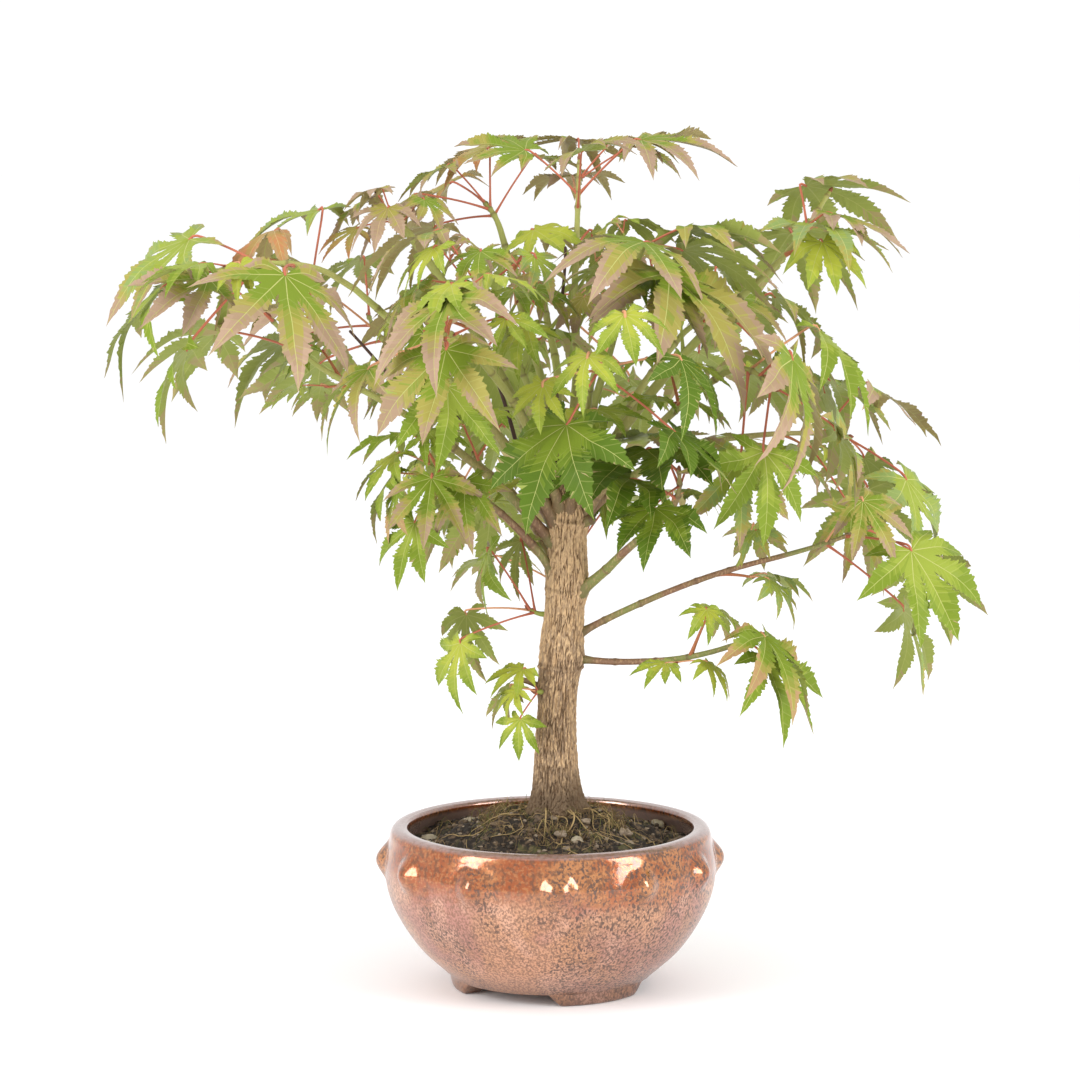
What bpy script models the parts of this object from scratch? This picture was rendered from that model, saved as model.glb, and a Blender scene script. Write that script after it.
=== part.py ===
"""A Japanese maple bonsai in a round glazed bowl on three feet.

Metres, +Z up. The origin is on the ground under the middle of the bowl. The bowl, the soil,
the trunk, each bough and each spray of foliage is a solid of its own. A bough is cut clear of
the trunk, a spray's stem starts just clear of its bough's tip, and every spray is grown by the
same seeded rule: pairs of opposite leaf stalks along one stem, each pair turned a quarter
from the last, each stalk with a lobed leaf on its end.
"""

import math
import random
from typing import NamedTuple

import bpy
import bmesh
from mathutils import Vector
from mathutils.bvhtree import BVHTree

UP = Vector((0, 0, 1))
GAP = 0.0003                 # clear space between neighbouring pieces
FACET_GAP = 0.00034          # the same, measured from the corners of a many-sided solid
SHARP_ANGLE = 50             # edges bent more than this many degrees stay sharp

# Bowl: radius and height up the outside, from the bottom corner to the shoulder
BOWL_SIDE = ((0.0386, 0.0048), (0.0514, 0.0169), (0.0608, 0.0325), (0.0636, 0.0470), (0.0618, 0.0580))
RIM_HEIGHT = 0.0622
RIM_INNER_RADIUS = 0.0546
RIM_ROUND = 0.0008           # how far the lip's edges are rounded off
LIP_POINTS = 4
BOWL_WALL = 0.0056
WALL_RISE = 0.0025           # how far the wall's inner face is shifted up from the outer one
BOWL_FLOOR = 0.0105          # height of the inside floor
FLOOR_CORNER = 0.0040        # how far the inside corner is cut back
UNDER_EDGE = (0.0015, 0.0005)          # the step round the underside: inwards, down
DRAIN_RADIUS = 0.0050
BOWL_SEGMENTS = 36
BOSS_COUNT = 12
BOSS_FIRST = -87.5           # heading of the first knob, degrees from +X
BOSS_HEIGHT = 0.0496
BOSS_SIZE = (0.0050, 0.0058, 0.0062)   # half sizes: outwards, round the bowl, up
BOSS_SET_IN = 0.0016         # how far a knob's middle lies inside the wall's face
BOSS_FACES = (8, 5)          # round a knob, and up it
FOOT_COUNT = 3
FOOT_FIRST = -58.0           # heading of the first foot
FOOT_ARC = 68.0
FOOT_RADII = (0.0295, 0.0386)
FOOT_TOP = 0.0066
FOOT_TOE = 0.0008            # how far the foot's lower edge lies inside its outer radius
FOOT_END = 0.16              # share of the foot's length over which each end curves up
FOOT_END_HEIGHT = 0.0036     # height of the underside at the very ends
FOOT_STEPS = 8

# Soil
SOIL_EDGE_HEIGHT = 0.0550
SOIL_PAD_HEIGHT = 0.0680
SOIL_MOUND = ((0.0160, SOIL_PAD_HEIGHT), (0.0220, 0.0660), (0.0310, 0.0618), (0.0440, 0.0572))
SOIL_GAP = 0.0005            # between the soil's corners and the wall, wide enough for its flat facets
SOIL_SEGMENTS = BOWL_SEGMENTS // 2

# Trunk
TRUNK_FOOT = SOIL_PAD_HEIGHT + GAP
TRUNK_HEIGHT = 0.1290
TRUNK_FOOT_X = 0.0020
TRUNK_LEAN = 0.0044          # how far the top stands to the right of the foot
TRUNK_CURVE = (0.022, 0.080) # height above the foot where the lean starts, and the height it takes
TRUNK_SWAY = 0.0012          # front to back
TRUNK_RADII = (0.0083, 0.0069)         # at the foot, without its flare, and at the top
FLARE = 0.0036
FLARE_HEIGHT = 0.0075
ROOT_COUNT = 5
ROOT_PHASE = 0.6             # turns the roots about the trunk, in radians
ROOT_RELIEF = (0.38, 0.16)   # how much the flare varies round the foot: root by root, and in threes
SAWN_TILT = 0.0022           # half the height difference across the sawn top
SAWN_HEADING = 23            # of the sawn top's highest edge, degrees from +X
KNOTS = ((0.062, 0.0008, 0.010), (0.091, 0.0007, 0.009), (0.040, -0.0005, 0.012))   # height, bulge, spread
TRUNK_SIDES = 16
TRUNK_RINGS = 17
RING_CROWDING = 1.35         # above 1 the rings stand closer at the foot

# Crown: no leaf passes these
CROWN_LOW = Vector((-0.1722, -0.1310, 0.0790))
CROWN_HIGH = Vector((0.1722, 0.1310, 0.3285))
CROWN_BULGE = 3.0            # power of the oval that the crown keeps to, seen from above

BOUGH_START = 0.0030         # how far from the trunk's middle a bough's line begins
BOUGH_SIDES = 7
BOUGH_RINGS = 9
BOUGH_TAPER = 0.8            # below 1 a bough thins sooner
CROOK = (0.0010, 0.0018)     # least and most sideways swing of a bough
CROOK_WAVE = 7

# Growth of a spray. Angles are in degrees, the rest are shares of the row's own size.
STEM_SIDES = 5
STEM_POINTS = 4
STEM_RADIUS = 0.0011
STEM_TAPER = 0.1             # lost from one point of the stem to the next
STEM_START = 0.45            # how far the stem keeps to its bough's line
NEAR_UPRIGHT = 0.2           # a stem leaning less than this from upright takes its level from +Y
STALK_RADIUS = 0.00062
STALK_FOOT = 1.15            # the stalk's thickening at its foot
STALK_POINTS = 4
STALK_LIFT = 0.22            # how strongly stalks turn up
STALK_BOW = 0.10             # fall of a stalk's end under its leaf
STALK_LENGTH = (1.12, 0.24)  # at the stem's foot, and how much is lost towards its tip
STALK_VARY = (0.78, 1.18)
JOINTS = (0.30, 0.95)        # where along the stem its first pair may stand, and where its last pair stands
STALK_LEAN = (74, 30)        # away from the stem at its foot, and how much less at its tip
STALK_LEAN_VARY = 13
STALK_TURN_VARY = 24         # about the stem
LEAF_TURN_VARY = 26
LEAF_DROOP_VARY = (-14, 16)
LEAF_ROLL_VARY = 26
LEAF_LIFT = 0.30             # how much a rising stalk lifts its leaf
LEAF_SIZE = (0.82, 0.18)     # at the stem's foot, and how much is gained towards its tip
LEAF_VARY = (0.80, 1.10)
OUTWARD_PULL = 0.30          # how strongly leaves turn away from the trunk
CLEARANCE = 0.0005           # how much each new leaf and stalk is fattened for the tests
LEAF_MARGIN = 1.03           # how much longer a leaf is made for the tests
TRIES = 8
RETRY_TURN = 13              # on each new try the stalk is swung about the stem,
RETRY_LEAN = 9               # leans otherwise,
RETRY_SIZE = 0.05            # and bears a smaller leaf


class Bough(NamedTuple):
    """One limb: where it leaves the trunk, and where its tip is."""
    name: str
    foot: float              # height at which it leaves the trunk
    heading: float           # degrees from +X, seen from above
    reach: float             # of the tip from the bowl's axis
    tip: float               # height of the tip
    thick: float             # radius at the foot
    thin: float              # radius at the tip
    bow: float               # how far its middle stands above the straight line


BOUGHS = (
    Bough("bough_right_top", 0.188, -6, 0.080, 0.272, 0.0026, 0.0013, 0.004),
    Bough("bough_right_upper", 0.175, -24, 0.070, 0.237, 0.0023, 0.0012, 0.005),
    Bough("bough_right_middle", 0.177, 14, 0.080, 0.210, 0.0021, 0.0011, 0.008),
    Bough("bough_right_stub", 0.150, -30, 0.047, 0.181, 0.0023, 0.0012, 0.000),
    Bough("bough_right_long", 0.134, -4, 0.086, 0.166, 0.0014, 0.0010, 0.003),
    Bough("bough_right_low", 0.127, -14, 0.071, 0.134, 0.0014, 0.0010, -0.004),
    Bough("bough_middle", 0.186, 55, 0.017, 0.281, 0.0019, 0.0012, 0.001),
    Bough("bough_top_right", 0.186, -28, 0.038, 0.282, 0.0018, 0.0012, 0.003),
    Bough("bough_top_left", 0.186, 228, 0.030, 0.262, 0.0017, 0.0011, 0.002),
    Bough("bough_top_back", 0.186, 124, 0.034, 0.288, 0.0018, 0.0012, 0.003),
    Bough("bough_left_top", 0.185, 172, 0.053, 0.286, 0.0026, 0.0016, 0.004),
    Bough("bough_left_upper", 0.177, 203, 0.078, 0.268, 0.0024, 0.0012, 0.005),
    Bough("bough_left_middle", 0.168, 188, 0.080, 0.234, 0.0021, 0.0011, 0.006),
    Bough("bough_left_low", 0.156, 202, 0.040, 0.196, 0.0018, 0.0011, 0.004),
    Bough("bough_front_left", 0.182, 242, 0.062, 0.248, 0.0021, 0.0012, 0.005),
    Bough("bough_front_right", 0.180, 286, 0.056, 0.238, 0.0020, 0.0011, 0.005),
    Bough("bough_back", 0.182, 92, 0.062, 0.258, 0.0023, 0.0013, 0.005),
    Bough("bough_back_left", 0.172, 138, 0.076, 0.237, 0.0022, 0.0012, 0.007),
    Bough("bough_back_right", 0.172, 48, 0.078, 0.247, 0.0022, 0.0012, 0.006),
    Bough("bough_back_low", 0.154, 112, 0.064, 0.192, 0.0018, 0.0011, 0.006),
)


class Spray(NamedTuple):
    """One mass of foliage: a stem with pairs of leaves."""
    name: str
    limb: str                # the bough whose tip carries it, or "trunk"
    heading: float           # of the stem's end, degrees from +X
    rise: float              # of the stem's end, degrees above level
    length: float            # of the stem
    pairs: int               # pairs of leaves along the stem
    stalk: float             # length of its leaf stalks
    leaf: float              # length of its largest leaves' middle lobe
    twist: float             # turn of the last pair about the stem, degrees from level
    droop: float             # how far the leaves hang, degrees below level
    seed: int


SPRAYS = (
    Spray("spray_right_top", "bough_right_top", 26, 48, 0.042, 4, 0.016, 0.054, 70, 20, 558),
    Spray("spray_right_upper", "bough_right_upper", -36, -12, 0.022, 3, 0.03, 0.056, 45, 61, 488),
    Spray("spray_right_middle", "bough_right_middle", 20, -2, 0.04, 3, 0.038, 0.046, 45, 39, 60),
    Spray("spray_right_stub", "bough_right_stub", -70, 50, 0.028, 3, 0.022, 0.048, 20, 10, 886),
    Spray("spray_right_long", "bough_right_long", 14, 16, 0.038, 3, 0.03, 0.048, 70, 48, 120),
    Spray("spray_right_low", "bough_right_low", 10, 20, 0.01, 3, 0.006, 0.048, 45, 50, 695),
    Spray("spray_middle", "bough_middle", 84, 70, 0.036, 4, 0.032, 0.04, 0, 10, 873),
    Spray("spray_top_right", "bough_top_right", -48, 10, 0.008, 3, 0.012, 0.06, 70, 10, 323),
    Spray("spray_top_left", "bough_top_left", 240, 20, 0.022, 3, 0.028, 0.044, 45, 44, 601),
    Spray("spray_top_back", "bough_top_back", 134, 50, 0.014, 3, 0.032, 0.04, 70, 23, 636),
    Spray("spray_left_top", "bough_left_top", 187, 45, 0.014, 4, 0.014, 0.03, 70, 32, 680),
    Spray("spray_left_upper", "bough_left_upper", 194, 8, 0.052, 3, 0.032, 0.056, 0, 37, 638),
    Spray("spray_left_middle", "bough_left_middle", 188, 42, 0.034, 3, 0.05, 0.056, 45, 22, 804),
    Spray("spray_left_low", "bough_left_low", 230, 0, 0.01, 3, 0.016, 0.03, 20, 53, 84),
    Spray("spray_front_left", "bough_front_left", 247, 10, 0.03, 3, 0.026, 0.05, 0, 44, 873),
    Spray("spray_front_right", "bough_front_right", 279, 5, 0.014, 3, 0.03, 0.054, 0, 38, 648),
    Spray("spray_back", "bough_back", 98, 5, 0.024, 4, 0.044, 0.064, 20, 64, 244),
    Spray("spray_back_left", "bough_back_left", 118, 25, 0.038, 4, 0.032, 0.06, 20, 35, 230),
    Spray("spray_back_right", "bough_back_right", 28, 10, 0.026, 4, 0.024, 0.048, 70, 38, 577),
    Spray("spray_back_low", "bough_back_low", 108, 15, 0.022, 3, 0.02, 0.05, 70, 48, 660),
    Spray("spray_trunk_left", "trunk", 164, 15, 0.006, 2, 0.034, 0.03, 45, 80, 932),
    Spray("spray_trunk_foot", "trunk", 211, 10, 0.002, 2, 0.014, 0.02, 0, 45, 314),
    Spray("spray_trunk_back", "trunk", 90, 45, 0.018, 2, 0.046, 0.03, 45, 15, 903),
)
TRUNK_SPRAY_HEIGHTS = {"spray_trunk_left": 0.143, "spray_trunk_foot": 0.114, "spray_trunk_back": 0.146}

# Leaf: angle of each lobe from the middle one, and its length as a share of the middle one's
LOBES = ((0, 1.0), (36, 0.92), (74, 0.70))
HEEL = (116, 0.40)
NOTCH = 0.29                 # depth left at the cuts between lobes, as a share of the leaf
NOTCH_EVEN = 0.6             # how alike the cuts are: 1 makes them all equally deep
LOBE_HALF_WIDTH = 0.140
LOBE_WIDEST = 0.56           # where along the lobe it is widest
LEAF_SAG = (0.10, 0.32)      # least and most fall of the middle lobe's tip, as a share of its length
LEAF_THICK = 0.030           # thickness in the middle, as a share of its length
LEAF_FOOT = 0.07             # from the stalk's end to the lobes' meeting point, as a share of its length

COLOURS = {                  # base colour, roughness, metallic
    "glaze": ((0.46, 0.20, 0.11), 0.22, 0.6),
    "soil": ((0.045, 0.032, 0.022), 0.95, 0.0),
    "bark": ((0.30, 0.21, 0.14), 0.85, 0.0),
    "leaf": ((0.16, 0.27, 0.05), 0.55, 0.0),
}


# ---------------------------------------------------------------- curves and plain meshes

def direction(heading, rise):
    """The unit vector at a heading and a rise, both in degrees."""
    h, r = math.radians(heading), math.radians(rise)
    return Vector((math.cos(h) * math.cos(r), math.sin(h) * math.cos(r), math.sin(r)))


def bend(start, control, end, count):
    """Points along a quadratic curve."""
    ts = [i / (count - 1) for i in range(count)]
    return [start * (1 - t) ** 2 + control * 2 * t * (1 - t) + end * t * t for t in ts]


def through(points, steps):
    """Points along a smooth curve through the given (a, b) pairs."""
    rows = [Vector(p) for p in points]
    rows = [rows[0] * 2 - rows[1]] + rows + [rows[-1] * 2 - rows[-2]]
    out = []
    for a, b, c, d in zip(rows, rows[1:], rows[2:], rows[3:]):
        for i in range(steps):
            t = i / steps
            out.append(0.5 * (2 * b + (c - a) * t + (2 * a - 5 * b + 4 * c - d) * t ** 2
                              + (3 * b - a - 3 * c + d) * t ** 3))
    return out + [rows[-2]]


def slope(path, i):
    """The direction of a path at its point i."""
    return (path[min(i + 1, len(path) - 1)] - path[max(i - 1, 0)]).normalized()


def tube(path, radii, sides, lead=None):
    """A closed tapering tube along a path, its first end square to lead: its points and faces."""
    lead = lead or slope(path, 0)
    side = lead.orthogonal().normalized()
    points, faces = [], []
    for i, centre in enumerate(path):
        along = slope(path, i) if i else lead
        side = (side - along * side.dot(along)).normalized()
        across = along.cross(side)
        for k in range(sides):
            a = math.tau * k / sides
            points.append(centre + (side * math.cos(a) + across * math.sin(a)) * radii[i])
    for i in range(len(path) - 1):
        for k in range(sides):
            a, b = i * sides + k, i * sides + (k + 1) % sides
            faces.append((a, b, b + sides, a + sides))
    faces.append(tuple(reversed(range(sides))))
    faces.append(tuple(range((len(path) - 1) * sides, len(path) * sides)))
    return points, faces


def face_outwards(bm):
    """Turn a closed mesh's faces outwards."""
    bmesh.ops.recalc_face_normals(bm, faces=bm.faces)
    if bm.calc_volume(signed=True) < 0:
        bmesh.ops.reverse_faces(bm, faces=bm.faces)


def piece(name, points, faces, finish):
    """An object made from points and faces, with its finish, faces pointing out."""
    mesh = bpy.data.meshes.new(name)
    mesh.from_pydata(points, [], faces)
    bm = bmesh.new()
    bm.from_mesh(mesh)
    face_outwards(bm)
    bm.to_mesh(mesh)
    bm.free()
    mesh.shade_smooth()
    mesh.set_sharp_from_angle(angle=math.radians(SHARP_ANGLE))
    mesh.materials.append(material(finish))
    obj = bpy.data.objects.new(name, mesh)
    bpy.context.scene.collection.objects.link(obj)
    return obj


def material(name):
    """The named finish, made the first time it is asked for."""
    found = bpy.data.materials.get(name)
    if found:
        return found
    colour, roughness, metallic = COLOURS[name]
    made = bpy.data.materials.new(name)
    made.use_nodes = True
    shader = made.node_tree.nodes["Principled BSDF"]
    shader.inputs["Base Color"].default_value = (*colour, 1.0)
    shader.inputs["Roughness"].default_value = roughness
    shader.inputs["Metallic"].default_value = metallic
    return made


def combine(obj, others, operation):
    """Join others to obj, or cut them from it, with one Boolean, apply it and remove them."""
    group = bpy.data.collections.new("tools")
    bpy.context.scene.collection.children.link(group)
    for other in others:
        bpy.context.scene.collection.objects.unlink(other)
        group.objects.link(other)
    step = obj.modifiers.new("combine", "BOOLEAN")
    step.operation = operation
    step.solver = "MANIFOLD"
    step.operand_type = "COLLECTION"
    step.collection = group
    deps = bpy.context.evaluated_depsgraph_get()
    joined = bpy.data.meshes.new_from_object(obj.evaluated_get(deps))
    obj.modifiers.remove(step)
    spare = obj.data
    obj.data = joined
    bpy.data.meshes.remove(spare)
    for other in others:
        bpy.data.objects.remove(other)
    bpy.data.collections.remove(group)
    keep_outer_body(obj)
    return obj


def keep_outer_body(obj):
    """Drop loose scraps and the inner skins of sealed hollows: only the largest body stays."""
    bm = bmesh.new()
    bm.from_mesh(obj.data)
    left, bodies = set(bm.faces), []
    while left:
        body, border = [], [left.pop()]
        while border:
            face = border.pop()
            body.append(face)
            for other in {f for e in face.edges for f in e.link_faces} & left:
                left.remove(other)
                border.append(other)
        bodies.append(body)
    bodies.sort(key=len)
    for body in bodies[:-1]:
        bmesh.ops.delete(bm, geom=body, context="FACES")
    bm.to_mesh(obj.data)
    bm.free()


# ---------------------------------------------------------------- bowl and soil

def bowl_profile():
    """Radius and height round the bowl's wall section, from its bottom corner."""
    side = through(BOWL_SIDE, 2)
    corner, shoulder = Vector(BOWL_SIDE[0]), Vector(BOWL_SIDE[-1])
    lip = bend(shoulder, Vector((shoulder.x - RIM_ROUND / 2, RIM_HEIGHT + RIM_ROUND / 2)),
               Vector((RIM_INNER_RADIUS + RIM_ROUND, RIM_HEIGHT)), LIP_POINTS)[1:]
    inside = [Vector((RIM_INNER_RADIUS, RIM_HEIGHT - RIM_ROUND))]
    for radius, height in reversed(BOWL_SIDE[:-1]):
        if height + WALL_RISE > BOWL_FLOOR:
            inside.append(Vector((radius - BOWL_WALL, height + WALL_RISE)))
    floor = [Vector((inside[-1].x - FLOOR_CORNER, BOWL_FLOOR)), Vector((DRAIN_RADIUS, BOWL_FLOOR))]
    under = [Vector((DRAIN_RADIUS, corner.y)), corner - Vector(UNDER_EDGE)]
    return side + lip + inside + floor + under, inside + floor


def turned(profile, segments):
    """Points and faces of a closed (radius, height) profile turned about +Z."""
    points, faces, count = [], [], len(profile)
    for s in range(segments):
        a = math.tau * s / segments
        points += [Vector((p.x * math.cos(a), p.x * math.sin(a), p.y)) for p in profile]
    for s in range(segments):
        t = (s + 1) % segments
        for i in range(count):
            j = (i + 1) % count
            faces.append((s * count + i, t * count + i, t * count + j, s * count + j))
    return points, faces


def boss(heading, radius):
    """A rounded knob standing out of the bowl's shoulder."""
    mesh = bpy.data.meshes.new("boss")
    bm = bmesh.new()
    bmesh.ops.create_uvsphere(bm, u_segments=BOSS_FACES[0], v_segments=BOSS_FACES[1], radius=1.0)
    out = direction(heading, 0)
    along = Vector((-out.y, out.x, 0))
    for v in bm.verts:
        x, y, z = v.co
        v.co = (out * (radius - BOSS_SET_IN + x * BOSS_SIZE[0]) + along * y * BOSS_SIZE[1]
                + Vector((0, 0, BOSS_HEIGHT + z * BOSS_SIZE[2])))
    face_outwards(bm)
    bm.to_mesh(mesh)
    bm.free()
    obj = bpy.data.objects.new("boss", mesh)
    bpy.context.scene.collection.objects.link(obj)
    return obj


def foot(heading):
    """One wide foot: a block along the base ring, flat below, its ends rounded off."""
    inner, outer = FOOT_RADII
    points, faces = [], []
    for s in range(FOOT_STEPS + 1):
        share = s / FOOT_STEPS
        a = math.radians(heading - FOOT_ARC / 2 + FOOT_ARC * share)
        low = FOOT_END_HEIGHT * (1 - math.sin(math.pi / 2 * min(share, 1 - share, FOOT_END) / FOOT_END))
        for r, z in ((inner, low), (outer - FOOT_TOE, low), (outer, FOOT_TOP), (inner, FOOT_TOP)):
            points.append(Vector((r * math.cos(a), r * math.sin(a), z)))
    for s in range(FOOT_STEPS):
        for i in range(4):
            j = (i + 1) % 4
            faces.append((s * 4 + i, s * 4 + j, s * 4 + 4 + j, s * 4 + 4 + i))
    faces += [(3, 2, 1, 0), tuple(range(FOOT_STEPS * 4, FOOT_STEPS * 4 + 4))]
    return piece("foot", points, faces, "glaze")


def make_bowl():
    """The glazed bowl: a turned wall with knobs round its shoulder and three feet."""
    profile, inside = bowl_profile()
    bowl = piece("pot", *turned(profile, BOWL_SEGMENTS), "glaze")
    reach = BOWL_SIDE[3][0]
    extras = [boss(BOSS_FIRST + 360 * i / BOSS_COUNT, reach) for i in range(BOSS_COUNT)]
    extras += [foot(FOOT_FIRST + 360 * i / FOOT_COUNT) for i in range(FOOT_COUNT)]
    combine(bowl, extras, "UNION")
    return bowl, inside


def make_soil(inside):
    """The soil: it fills the bowl, mounds up and has a level pad for the trunk to stand on."""
    share = (inside[0].y - SOIL_EDGE_HEIGHT) / (inside[0].y - inside[1].y)
    edge = inside[0].lerp(inside[1], share) - Vector((SOIL_GAP, 0))
    below = [point + Vector((-SOIL_GAP, GAP)) for point in inside[1:-1]]
    profile = [Vector(pair) for pair in SOIL_MOUND] + [edge] + below
    points, faces, n = [], [], SOIL_SEGMENTS
    for p in profile:
        for s in range(n):
            a = math.tau * s / n
            points.append(Vector((p.x * math.cos(a), p.x * math.sin(a), p.y)))
    for i in range(0, (len(profile) - 1) * n, n):
        for s in range(n):
            faces.append((i + s, i + (s + 1) % n, i + n + (s + 1) % n, i + n + s))
    faces.append(tuple(reversed(range(n))))
    faces.append(tuple(range((len(profile) - 1) * n, len(profile) * n)))
    return piece("soil", points, faces, "soil")


# ---------------------------------------------------------------- trunk and boughs

def trunk_centre(height):
    """The middle of the trunk at a height above the ground."""
    start, rise = TRUNK_CURVE
    up = min(max((height - TRUNK_FOOT - start) / rise, 0.0), 1.0)
    lean = TRUNK_LEAN * up * up * (3 - 2 * up)
    return Vector((TRUNK_FOOT_X + lean, TRUNK_SWAY * math.sin(math.pi * up), height))


def trunk_radius(height, angle=0.0):
    """The trunk's radius at a height, and at an angle near its flared foot."""
    h = height - TRUNK_FOOT
    share = min(max(h / TRUNK_HEIGHT, 0.0), 1.0)
    radius = TRUNK_RADII[0] + (TRUNK_RADII[1] - TRUNK_RADII[0]) * share
    for at, bulge, spread in KNOTS:
        radius += bulge * math.exp(-((h - at) / spread) ** 2)
    single, threes = ROOT_RELIEF
    roots = 1 + single * math.cos(ROOT_COUNT * angle + ROOT_PHASE) + threes * math.cos(3 * angle)
    return radius + FLARE * roots * math.exp(-max(h, 0.0) / FLARE_HEIGHT)


def trunk_solid(name, grow):
    """The trunk, from its flat foot to its sawn top, or a copy fattened by grow."""
    points, faces = [], []
    for i in range(TRUNK_RINGS):
        height = TRUNK_FOOT + TRUNK_HEIGHT * (i / (TRUNK_RINGS - 1)) ** RING_CROWDING
        centre = trunk_centre(height)
        for k in range(TRUNK_SIDES):
            a = math.tau * k / TRUNK_SIDES
            r = trunk_radius(height, a) + grow
            top = grow + SAWN_TILT * math.cos(a - math.radians(SAWN_HEADING)) if i == TRUNK_RINGS - 1 else 0
            points.append(centre + Vector((r * math.cos(a), r * math.sin(a), top)))
    for i in range(TRUNK_RINGS - 1):
        for k in range(TRUNK_SIDES):
            a, b = i * TRUNK_SIDES + k, i * TRUNK_SIDES + (k + 1) % TRUNK_SIDES
            faces.append((a, b, b + TRUNK_SIDES, a + TRUNK_SIDES))
    faces.append(tuple(reversed(range(TRUNK_SIDES))))
    faces.append(tuple(range((TRUNK_RINGS - 1) * TRUNK_SIDES, TRUNK_RINGS * TRUNK_SIDES)))
    return piece(name, points, faces, "bark")


def bough_path(row):
    """The bough's middle line, from the trunk's middle to its tip, with a slight crook."""
    rng = random.Random(row.name)
    start = trunk_centre(row.foot) + direction(row.heading, 0) * BOUGH_START
    end = direction(row.heading, 0) * row.reach + Vector((0, 0, row.tip))
    chord = end - start
    level = Vector((-chord.y, chord.x, 0)).normalized()
    above = chord.cross(level).normalized()
    above = above if above.z > 0 else -above
    path = bend(start, (start + end) / 2 + above * row.bow * 2, end, BOUGH_RINGS)
    phase, crook = rng.uniform(0, math.tau), rng.uniform(*CROOK)
    for i, point in enumerate(path):
        share = i / (BOUGH_RINGS - 1)
        point += level * crook * math.sin(phase + share * CROOK_WAVE) * math.sin(math.pi * share)
    return path


def make_bough(row):
    """A tapering bough, cut clear of the trunk."""
    path = bough_path(row)
    shares = [(i / (BOUGH_RINGS - 1)) ** BOUGH_TAPER for i in range(BOUGH_RINGS)]
    radii = [row.thick + (row.thin - row.thick) * share for share in shares]
    bough = piece(row.name, *tube(path, radii, BOUGH_SIDES), "bark")
    return combine(bough, [trunk_solid("cutter", FACET_GAP)], "DIFFERENCE")


# ---------------------------------------------------------------- leaves and sprays

def leaf_outline():
    """The leaf's rim as (angle in degrees, distance) pairs, from one side of its foot to the other."""
    lean = math.degrees(math.atan2(LOBE_HALF_WIDTH, LOBE_WIDEST))
    half = []
    for (angle, length), (after, _) in zip(LOBES, LOBES[1:] + (HEEL,)):
        half += [(angle - lean, length * LOBE_WIDEST), (angle, length), (angle + lean, length * LOBE_WIDEST),
                 ((angle + after) / 2, NOTCH * (NOTCH_EVEN + (1 - NOTCH_EVEN) * length))]
    half = half[1:] + [HEEL]
    return [(-a, r) for a, r in reversed(half[1:])] + half


def leaf_solid(stalk, radius, axis, normal, size, sag, thick):
    """A stalk and its leaf as one solid: the three-sided stalk opens into the leaf's foot.

    The leaf is a lens between an upper and a lower middle point, its lobes hanging.
    """
    across = normal.cross(axis)
    points, faces = [], []
    for i, centre in enumerate(stalk):
        along = slope(stalk, i)
        side = (across - along * across.dot(along)).normalized()
        below = side.cross(along)
        r = radius * (1.0 if i else STALK_FOOT)
        over = centre - below * r / 2
        points += [over + side * r, over - side * r, centre + below * r]
        if i:
            k = 3 * i
            faces += [(k - 3 + a, k - 3 + b, k + b, k + a) for a, b in ((0, 1), (1, 2), (2, 0))]
    faces.append((2, 1, 0))
    left, right, under = len(points) - 3, len(points) - 2, len(points) - 1
    middle = stalk[-1] + axis * size * LEAF_FOOT
    top, bottom = len(points), len(points) + 1
    points += [middle + normal * thick / 2, middle - normal * thick / 2]
    rim = [right]
    for angle, share in leaf_outline():
        a = math.radians(angle)
        flat = (axis * math.cos(a) + across * math.sin(a)) * share * size
        rim.append(len(points))
        points.append(middle + flat - normal * sag * size * share * share)
    rim.append(left)
    for a, b in zip(rim, rim[1:]):
        faces += [(top, a, b), (bottom, b, a)]
    faces += [(left, right, top), (under, left, bottom), (right, under, bottom)]
    return points, faces


class Taken:
    """The solids already in place, for testing what is added next."""

    def __init__(self):
        self.solids = []

    def add(self, points, faces, owner=""):
        """Put a solid in place, as part of its owner."""
        low = Vector([min(p[i] for p in points) for i in range(3)])
        high = Vector([max(p[i] for p in points) for i in range(3)])
        self.solids.append((BVHTree.FromPolygons(points, faces), low, high, owner))

    def hits(self, points, faces, but=None):
        """Whether a solid touches one that is in place, other than those of one owner."""
        low = Vector([min(p[i] for p in points) for i in range(3)])
        high = Vector([max(p[i] for p in points) for i in range(3)])
        tree = BVHTree.FromPolygons(points, faces)
        for other, olow, ohigh, owner in self.solids:
            apart = owner == but or any(low[i] > ohigh[i] or high[i] < olow[i] for i in range(3))
            if not apart and tree.overlap(other):
                return True
        return False


def in_crown(points):
    """Whether all points keep to the crown's space."""
    middle = (CROWN_LOW + CROWN_HIGH) / 2
    half = (CROWN_HIGH - CROWN_LOW) / 2
    for p in points:
        x, y = (p.x - middle.x) / half.x, (p.y - middle.y) / half.y
        if abs(x) ** CROWN_BULGE + abs(y) ** CROWN_BULGE > 1 or not CROWN_LOW.z < p.z < CROWN_HIGH.z:
            return False
    return True


def stem_path(row, start, lead):
    """A spray's stem: it leaves along lead and ends at the row's heading and rise."""
    end = start + direction(row.heading, row.rise) * row.length
    return bend(start, start + lead * row.length * STEM_START, end, STEM_POINTS)


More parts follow.
